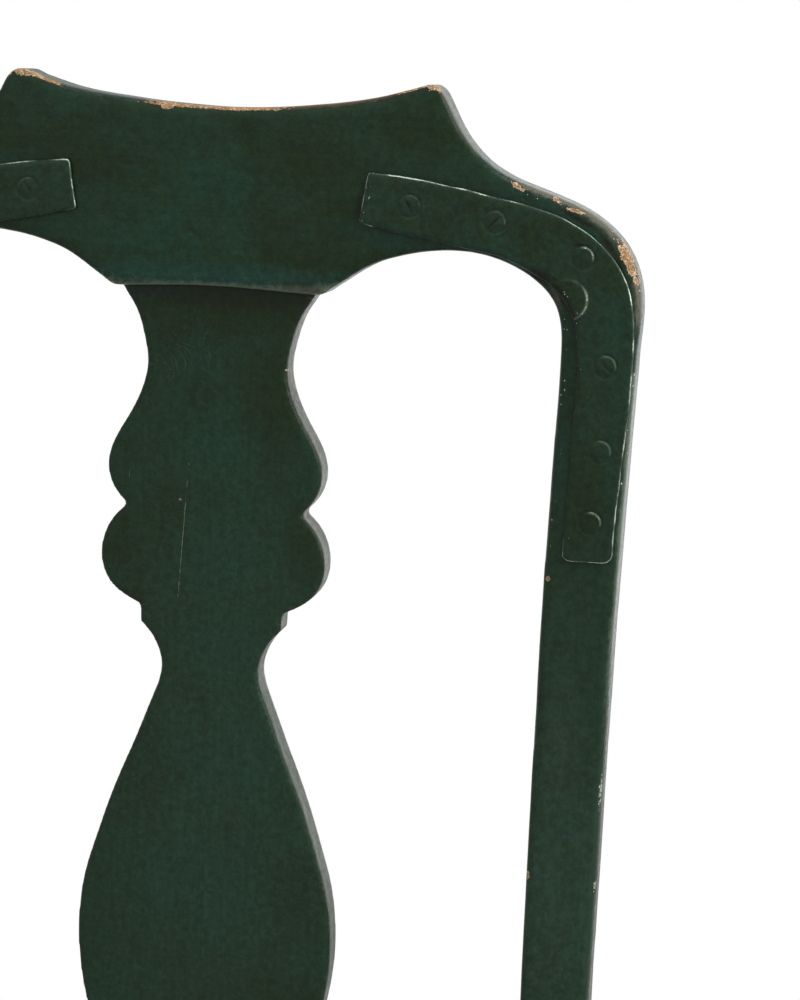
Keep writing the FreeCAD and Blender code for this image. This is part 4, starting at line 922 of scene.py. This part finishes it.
def bare_wood(name, grain):
    """Unpainted softwood, aged and dusty, with its grain and saw marks."""
    tone = colours()
    made = Finish(name)
    place = made.spot()
    fibre = made.stretched(place, along(grain, 1.0, 0.05))
    rings = made.noise(fibre, 95.0, 3.0, 0.55, 0.7)
    streaks = made.noise(fibre, 620.0, 5.0, 0.6)
    dust = made.noise(place, 30.0, 5.0, 0.6)
    dark = tuple(part * 0.45 for part in tone.soft_wood)
    base = made.mix(made.step(rings, 0.42, 0.58, 0.15, 0.75), tone.soft_wood, dark)
    base = made.casts(base, (streaks, 0.35, 0.7, 0.4, dark), (dust, 0.45, 0.7, 0.45, (0.30, 0.27, 0.22)))
    saw_marks = made.noise(made.stretched(place, along(grain, 0.06, 1.0)), 260.0, 2.0)
    normal = made.bumps((streaks, 0.16 * MM), (saw_marks, 0.12 * MM))
    roughness = made.step(streaks, 0.3, 0.7, 0.62, 0.82)
    return made.finish(base, roughness, normal, 0.3)


def dull_steel(name):
    """Dull screw steel with a little rust."""
    tone = colours()
    made = Finish(name)
    place = made.room()
    rust = made.step(made.noise(place, 300.0, 5.0, 0.6), 0.5, 0.68)
    base = made.mix(rust, tone.steel, (0.16, 0.055, 0.022))
    normal = made.bumps((made.noise(place, 900.0, 4.0), 0.05 * MM))
    roughness = made.step(rust, 0.0, 1.0, 0.38, 0.7)
    return made.finish(base, roughness, normal, 0.5, made.maths("SUBTRACT", 1.0, rust))


# Operators

class CHAIR_OT_stage(bpy.types.Operator):
    """Sets up the camera, the lamps, the surround and the floor"""
    bl_idname = "chair.stage"
    bl_label = "Stage"

    def execute(self, context):
        values = stage_values()
        camera = bpy.data.cameras.new("camera")
        camera.sensor_fit = "VERTICAL"
        camera.sensor_height = 36.0
        camera.lens = values.lens
        camera.clip_start = 0.05
        camera.clip_end = 40.0
        eye = bpy.data.objects.new("camera", camera)
        eye.location = values.camera_place
        eye.rotation_euler = Euler(values.camera_turn)
        context.collection.objects.link(eye)
        context.scene.camera = eye

        for name in lamps:
            where, power, size = (getattr(values, name + end) for end in ("_place", "_power", "_size"))
            self.lamp(context, name + " lamp", where, power, size)
        self.surround(context, values.surround)
        self.floor(context, values)
        context.scene.view_settings.view_transform = "Standard"
        return {"FINISHED"}

    def lamp(self, context, name, place, power, size):
        light = bpy.data.lights.new(name, "AREA")
        light.shape = "SQUARE"
        light.size = size
        light.energy = power
        lamp = bpy.data.objects.new(name, light)
        lamp.location = place
        lamp.visible_camera = False
        aim = Vector((0.0, 0.0, cad_box[1][2] * stage_values().lamp_aim))
        lamp.rotation_euler = (aim - Vector(place)).to_track_quat("-Z", "Y").to_euler()
        context.collection.objects.link(lamp)

    def surround(self, context, level):
        world = bpy.data.worlds.new("surround")
        context.scene.world = world
        world.use_nodes = True
        tree = world.node_tree
        tree.nodes.clear()

        def background(strength):
            node = tree.nodes.new("ShaderNodeBackground")
            node.inputs["Color"].default_value = (1.0, 1.0, 1.0, 1.0)
            node.inputs["Strength"].default_value = strength
            return node.outputs[0]

        path = tree.nodes.new("ShaderNodeLightPath")
        seen = path.outputs["Is Camera Ray"]
        for ray in ("Is Glossy Ray", "Is Transmission Ray"):
            either = tree.nodes.new("ShaderNodeMath")
            either.operation = "MAXIMUM"
            tree.links.new(seen, either.inputs[0])
            tree.links.new(path.outputs[ray], either.inputs[1])
            seen = either.outputs[0]
        choice = tree.nodes.new("ShaderNodeMixShader")
        for value, socket in zip((seen, background(level), background(1.0)), choice.inputs):
            tree.links.new(value, socket)
        output = tree.nodes.new("ShaderNodeOutputWorld")
        tree.links.new(choice.outputs[0], output.inputs[0])

    def floor(self, context, values):
        disc = bmesh.new()
        bmesh.ops.create_circle(disc, cap_ends=True, segments=128, radius=values.floor_radius)
        bmesh.ops.translate(disc, verts=disc.verts, vec=(0.0, 0.0, -floor_drop))
        mesh = bpy.data.meshes.new("floor")
        disc.to_mesh(mesh)
        disc.free()
        floor = bpy.data.objects.new("floor", mesh)
        context.collection.objects.link(floor)
        made = Finish("pale floor")
        reach = made.node("ShaderNodeVectorMath", operation="LENGTH")
        made.join(made.room(), reach.inputs[0])
        fade = made.step(reach.outputs["Value"], values.floor_fade, values.floor_radius * 0.9)
        matt = made.node("ShaderNodeBsdfDiffuse")
        grain = made.noise(made.room(), 40.0, 3.0)
        made.join(made.mix(grain, (0.80, 0.80, 0.79), (0.83, 0.83, 0.82)), matt.inputs["Color"])
        glow = made.node("ShaderNodeEmission")
        mixed = made.node("ShaderNodeMixShader")
        made.join(fade, mixed.inputs[0])
        made.join(matt.outputs[0], mixed.inputs[1])
        made.join(glow.outputs[0], mixed.inputs[2])
        made.join(mixed.outputs[0], made.node("ShaderNodeOutputMaterial").inputs[0])
        mesh.materials.append(made.material)


class CHAIR_OT_back(bpy.types.Operator):
    """Builds the crest rail and the two rear posts from one skin, so that paint bridges their joints"""
    bl_idname = "chair.back"
    bl_label = "Crest and posts"

    def execute(self, context):
        local = back_frame()
        nodes = ["crest_rail", "rear_post_left", "rear_post_right"]
        fineness = shape().back_fineness
        whole = skinned("back", nodes, local, fineness)
        self.wear_round(whole)
        weather(whole, fineness, seed=5)
        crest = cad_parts["crest_rail"].data
        joint = min((local.inverted() @ vertex.co).z for vertex in crest.vertices)
        seam = Vector((0.0, 0.0, joint))
        up, left = Vector((0.0, 0.0, 1.0)), Vector((1.0, 0.0, 0.0))
        crest_paint = paint("crest paint", "x", crest_marks)
        post_paint = paint("post paint", "z", post_marks)
        top = sliced(whole, [(seam, -up)])
        place_piece("crest", top, local, crest_paint, ["crest_rail"])
        for side, outwards in (("left", -left), ("right", left)):
            post = sliced(whole, [(seam, up), (Vector(), outwards)])
            place_piece("post_" + side, post, local, post_paint, ["rear_post_" + side])
        return {"FINISHED"}

    def wear_round(self, whole):
        """Rounds the edges, least at the peaks, the foot and the lower posts and most at the shoulders."""
        across, _, height = points_of(whole).T
        across = np.abs(across)
        peaks = smoothstep(height, height.max() - shape().peak_reach, height.max() - shape().peak_reach / 2)
        foot = between(height, foot_up) * between(across, foot_across)
        crisp = np.maximum.reduce([peaks * 0.9, foot * 0.7, between(height, crisp_posts) * 0.75])
        eased(whole, 2)
        eased(whole, shape().back_easing - 2, 1.0 - crisp)
        points = points_of(whole)
        points[:, 2] -= foot * between(across, foot_dips) * shape().foot_droop
        move_points(whole, points)
        across, up, wear_reach = (value * MM for value in shoulder)
        reach = np.hypot(np.abs(points[:, 0]) - across, points[:, 2] - up)
        eased(whole, shape().shoulder_easing, smoothstep(reach, wear_reach, wear_reach / 2))


class CHAIR_OT_splat(bpy.types.Operator):
    """Builds the flat baluster splat and its shoe"""
    bl_idname = "chair.splat"
    bl_label = "Splat"

    def execute(self, context):
        local = back_frame()
        fineness = shape().splat_fineness
        mesh = skinned("splat", ["splat"], local, fineness)
        eased(mesh, 2)
        points = points_of(mesh)
        points[:, 2] += between(points[:, 2], splat_stretch) * shape().splat_reach
        move_points(mesh, points)
        weather(mesh, fineness, seed=31)
        finish = paint("splat paint", "z", splat_marks)
        place_piece("baluster_splat", mesh, local, finish, ["splat"])
        wooden_piece("shoe", "splat_shoe", shape().wood_fineness, paint("shoe paint", "x"))
        return {"FINISHED"}


class CHAIR_OT_irons(bpy.types.Operator):
    """Builds the two corner irons and their screws"""
    bl_idname = "chair.irons"
    bl_label = "Corner irons"

    def execute(self, context):
        finish = painted_iron("iron paint", iron_marks)
        screw_finish = painted_iron("screw paint")
        local = back_frame()
        for side, sign in (("left", -1), ("right", 1)):
            bar, screws = "corner_iron_" + side, "iron_screws_" + side
            iron = skinned("iron", [bar, screws], local, shape().iron_fineness)
            self.forge(iron, sign)
            back = min((local.inverted() @ vertex.co).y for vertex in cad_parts[bar].data.vertices)
            iron = sliced(iron, [(Vector((0.0, back, 0.0)), Vector((0.0, -1.0, 0.0)))])
            place_piece("iron_" + side, iron, local, finish, [bar])
            sunk = skinned("screws", [screws], local, shape().screw_fineness)
            points = points_of(sunk)
            keep(sunk, "spot", points)
            keep(sunk, "wear", points[:, 1] * 0.0)
            points[:, 1] -= smoothstep(points[:, 1], 0.0, back) * shape().screw_sink
            move_points(sunk, points)
            place_piece("screws_" + side, sunk, local, screw_finish, [screws])
        return {"FINISHED"}

    def forge(self, iron, sign):
        """Files the edges by hand, paints over the screw heads and swells the inside of the bend. The kept
        wear is greatest on edges turned up and outwards, a painted highlight.
        """
        points = points_of(iron)
        keep(iron, "spot", points)
        face = points[:, 1].max() - crown * MM
        plain = np.ones(len(points))
        heads = []
        for across, up, slot, stands, leans in screw_heads.values():
            away = points[:, [0, 2]] - (-across * sign * MM, up * MM)
            reach = np.hypot(*away.T)
            plain = np.minimum(plain, between(reach, plain_iron))
            in_slot = (reach < slot_closes * MM) & (points[:, 1] > face - slot_depth * MM)
            points[in_slot, 1] = np.maximum(points[in_slot, 1], face + (slot_fill - slot) * MM)
            leaning = (away[:, 1] - away[:, 0] * sign) / (head_lean * MM)
            heads.append((reach, leaning, stands, leans))
        move_points(iron, points)
        eased(iron, 2)
        eased(iron, shape().iron_easing, plain)

        points = points_of(iron)
        normals = normals_of(iron)
        top = between(points[:, 1] - face, upper_edge)
        # Edges turned up and outwards, towards the lamps, are given more wear: a painted highlight
        lit = smoothstep(normals[:, 2] - normals[:, 0] * sign, -0.1, 0.5)
        ends = (points[:, 0] * -sign < strap_end * MM) | (points[:, 2] < leg_end * MM)
        wear = smoothstep(turned(iron), 0.05, 0.55) * np.where(ends, 1.1, 0.25 + 0.75 * lit) * top * plain
        wear *= np.clip(0.85 + 0.5 * roughened(points, 8 * MM, 12), 0.0, 1.3)

        lift = roughened(points, 24 * MM, 3) * 0.10 * MM
        for reach, leaning, stands, leans in heads:
            lift -= smoothstep(reach, shape().screw_ring, shape().screw_ring * 0.8) * shape().screw_dish
            lift -= line(reach, head_groove * MM, 0.5 * MM) * shape().screw_groove
            lift += between(reach, head_slope) * (stands + leans * leaning) * MM
            # Each screw's upper outer rim is given wear: a painted highlight crescent
            rim = line(reach, head_rim * MM, 0.5 * MM) * smoothstep(leaning, 0.15, 0.75)
            wear = np.maximum(wear, rim * (0.25 + leans * 0.6))
        swelling, arc_highlight = self.swelling(points, sign)
        lift += swelling * shape().bend_swell
        keep(iron, "wear", np.maximum(wear, arc_highlight * 0.55))

        edge = 0.35 * MM + roughened(points, 13 * MM, 9) * 0.22 * MM
        hammered_out = between(points[:, 0] * -sign, (strap_end + 8, strap_end - 2))
        points[:, 1] += lift * np.maximum(smoothstep(normals[:, 1], 0.2, 0.7), (1.0 - plain) * top)
        points += normals * np.array((1.0, 0.0, 1.0)) * (edge * plain)[:, None]
        points[:, 0] += hammered_out * sign * shape().strap_reach
        move_points(iron, points)

    def swelling(self, points, sign):
        """The swelling at the inside of the bend, and a painted highlight along the outer side of its rim,
        kept as wear.
        """
        across, up = (value * MM for value in iron_swelling)
        radius = shape().bend_radius
        outwards = (across * sign - points[:, 0]) * sign / radius
        upwards = (points[:, 2] - up) / radius
        reach = np.hypot(points[:, 0] - across * sign, points[:, 2] - up)
        swelling = smoothstep(reach, radius, radius - 1.7 * MM) * smoothstep(outwards, -0.6, 0.5)
        arc_highlight = line(reach, radius - 0.8 * MM, 0.75 * MM)
        return swelling, arc_highlight * smoothstep(outwards * 0.96 - upwards * 0.28, 0.0, 0.95)


class CHAIR_OT_seat(bpy.types.Operator):
    """Builds the seat rails, the boards and what holds them"""
    bl_idname = "chair.seat"
    bl_label = "Seat"

    def execute(self, context):
        fineness = shape().board_fineness
        across = paint("paint, grain across", "x", kept_edge=0.55)
        deep = paint("paint, grain front to back", "y", kept_edge=0.52)
        wooden_piece("rail_rear", "rear_rail", fineness, across)
        wooden_piece("rail_front", "front_rail", fineness, across)
        for side in ("left", "right"):
            wooden_piece("rail_" + side, "side_rail_" + side, fineness, deep)
            for edge in ("front", "side"):
                node = "knee_bracket_" + edge + "_" + side
                wooden_piece("bracket_" + edge + "_" + side, node, shape().wood_fineness, across)
        for board in ("left", "middle", "right"):
            wooden_piece("board_" + board, "seat_board_" + board, fineness, deep)
        softwood = bare_wood("softwood, grain across", "x")
        upright = bare_wood("softwood, grain upright", "z")
        wooden_piece("cleat", "rear_cleat", fineness, softwood)
        for end in ("front", "rear"):
            for side in ("left", "right"):
                node = "corner_block_" + end + "_" + side
                wooden_piece("block_" + end + "_" + side, node, fineness, upright)
        return {"FINISHED"}


class CHAIR_OT_legs(bpy.types.Operator):
    """Builds the front legs and the stretchers"""
    bl_idname = "chair.legs"
    bl_label = "Legs and stretchers"

    def execute(self, context):
        fineness = shape().wood_fineness
        upright = paint("paint, grain upright", "z", kept_edge=0.53)
        across = paint("stretcher paint, grain across", "x", kept_edge=0.5)
        deep = paint("stretcher paint, grain front to back", "y", kept_edge=0.5)
        for side in ("left", "right"):
            wooden_piece("leg_" + side, "front_leg_" + side, fineness, upright)
            wooden_piece("stretcher_" + side, "side_stretcher_" + side, fineness, deep)
        wooden_piece("stretcher_cross", "cross_stretcher", fineness, across)
        wooden_piece("stretcher_rear", "rear_stretcher", fineness, across)
        return {"FINISHED"}


class CHAIR_OT_fixings(bpy.types.Operator):
    """Finishes the pegs, nails and screws that the CAD model already shapes"""
    bl_idname = "chair.fixings"
    bl_label = "Pegs, nails and screws"

    def execute(self, context):
        finishes = {
            "rail_pegs": paint("peg paint", "y", on_mesh=False),
            "seat_nails": painted_iron("nail paint", on_mesh=False),
            "block_screws": dull_steel("dull steel"),
        }
        for node, finish in finishes.items():
            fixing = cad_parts[node]
            for place in fixing.material_slots:
                place.link = "OBJECT"
                place.material = finish
        return {"FINISHED"}


class CHAIR_PT_pieces(bpy.types.Panel):
    """Lists the pieces and their sizes and colours"""
    bl_label = "High-back chair"
    bl_space_type = "VIEW_3D"
    bl_region_type = "UI"
    bl_category = "Chair"

    def draw(self, context):
        for operator in OPERATORS:
            self.layout.operator(operator.bl_idname)
        for values in (shape(), colours(), stage_values()):
            box = self.layout.box()
            for name in values.__annotations__:
                box.prop(values, name)


GROUPS = (ChairShape, ChairColours, ChairStage)
OPERATORS = (
    CHAIR_OT_stage,
    CHAIR_OT_back,
    CHAIR_OT_splat,
    CHAIR_OT_irons,
    CHAIR_OT_seat,
    CHAIR_OT_legs,
    CHAIR_OT_fixings,
)


def register():
    for kind in (*GROUPS, *OPERATORS, CHAIR_PT_pieces):
        bpy.utils.register_class(kind)
    bpy.types.Scene.chair_shape = PointerProperty(type=ChairShape)
    bpy.types.Scene.chair_colours = PointerProperty(type=ChairColours)
    bpy.types.Scene.chair_stage = PointerProperty(type=ChairStage)


def unregister():
    del bpy.types.Scene.chair_shape
    del bpy.types.Scene.chair_colours
    del bpy.types.Scene.chair_stage
    for kind in (*GROUPS, *OPERATORS, CHAIR_PT_pieces):
        bpy.utils.unregister_class(kind)


def main():
    register()
    bpy.ops.chair.stage()
    bpy.ops.chair.back()
    bpy.ops.chair.splat()
    bpy.ops.chair.irons()
    bpy.ops.chair.seat()
    bpy.ops.chair.legs()
    bpy.ops.chair.fixings()


if __name__ == "__main__":
    main()
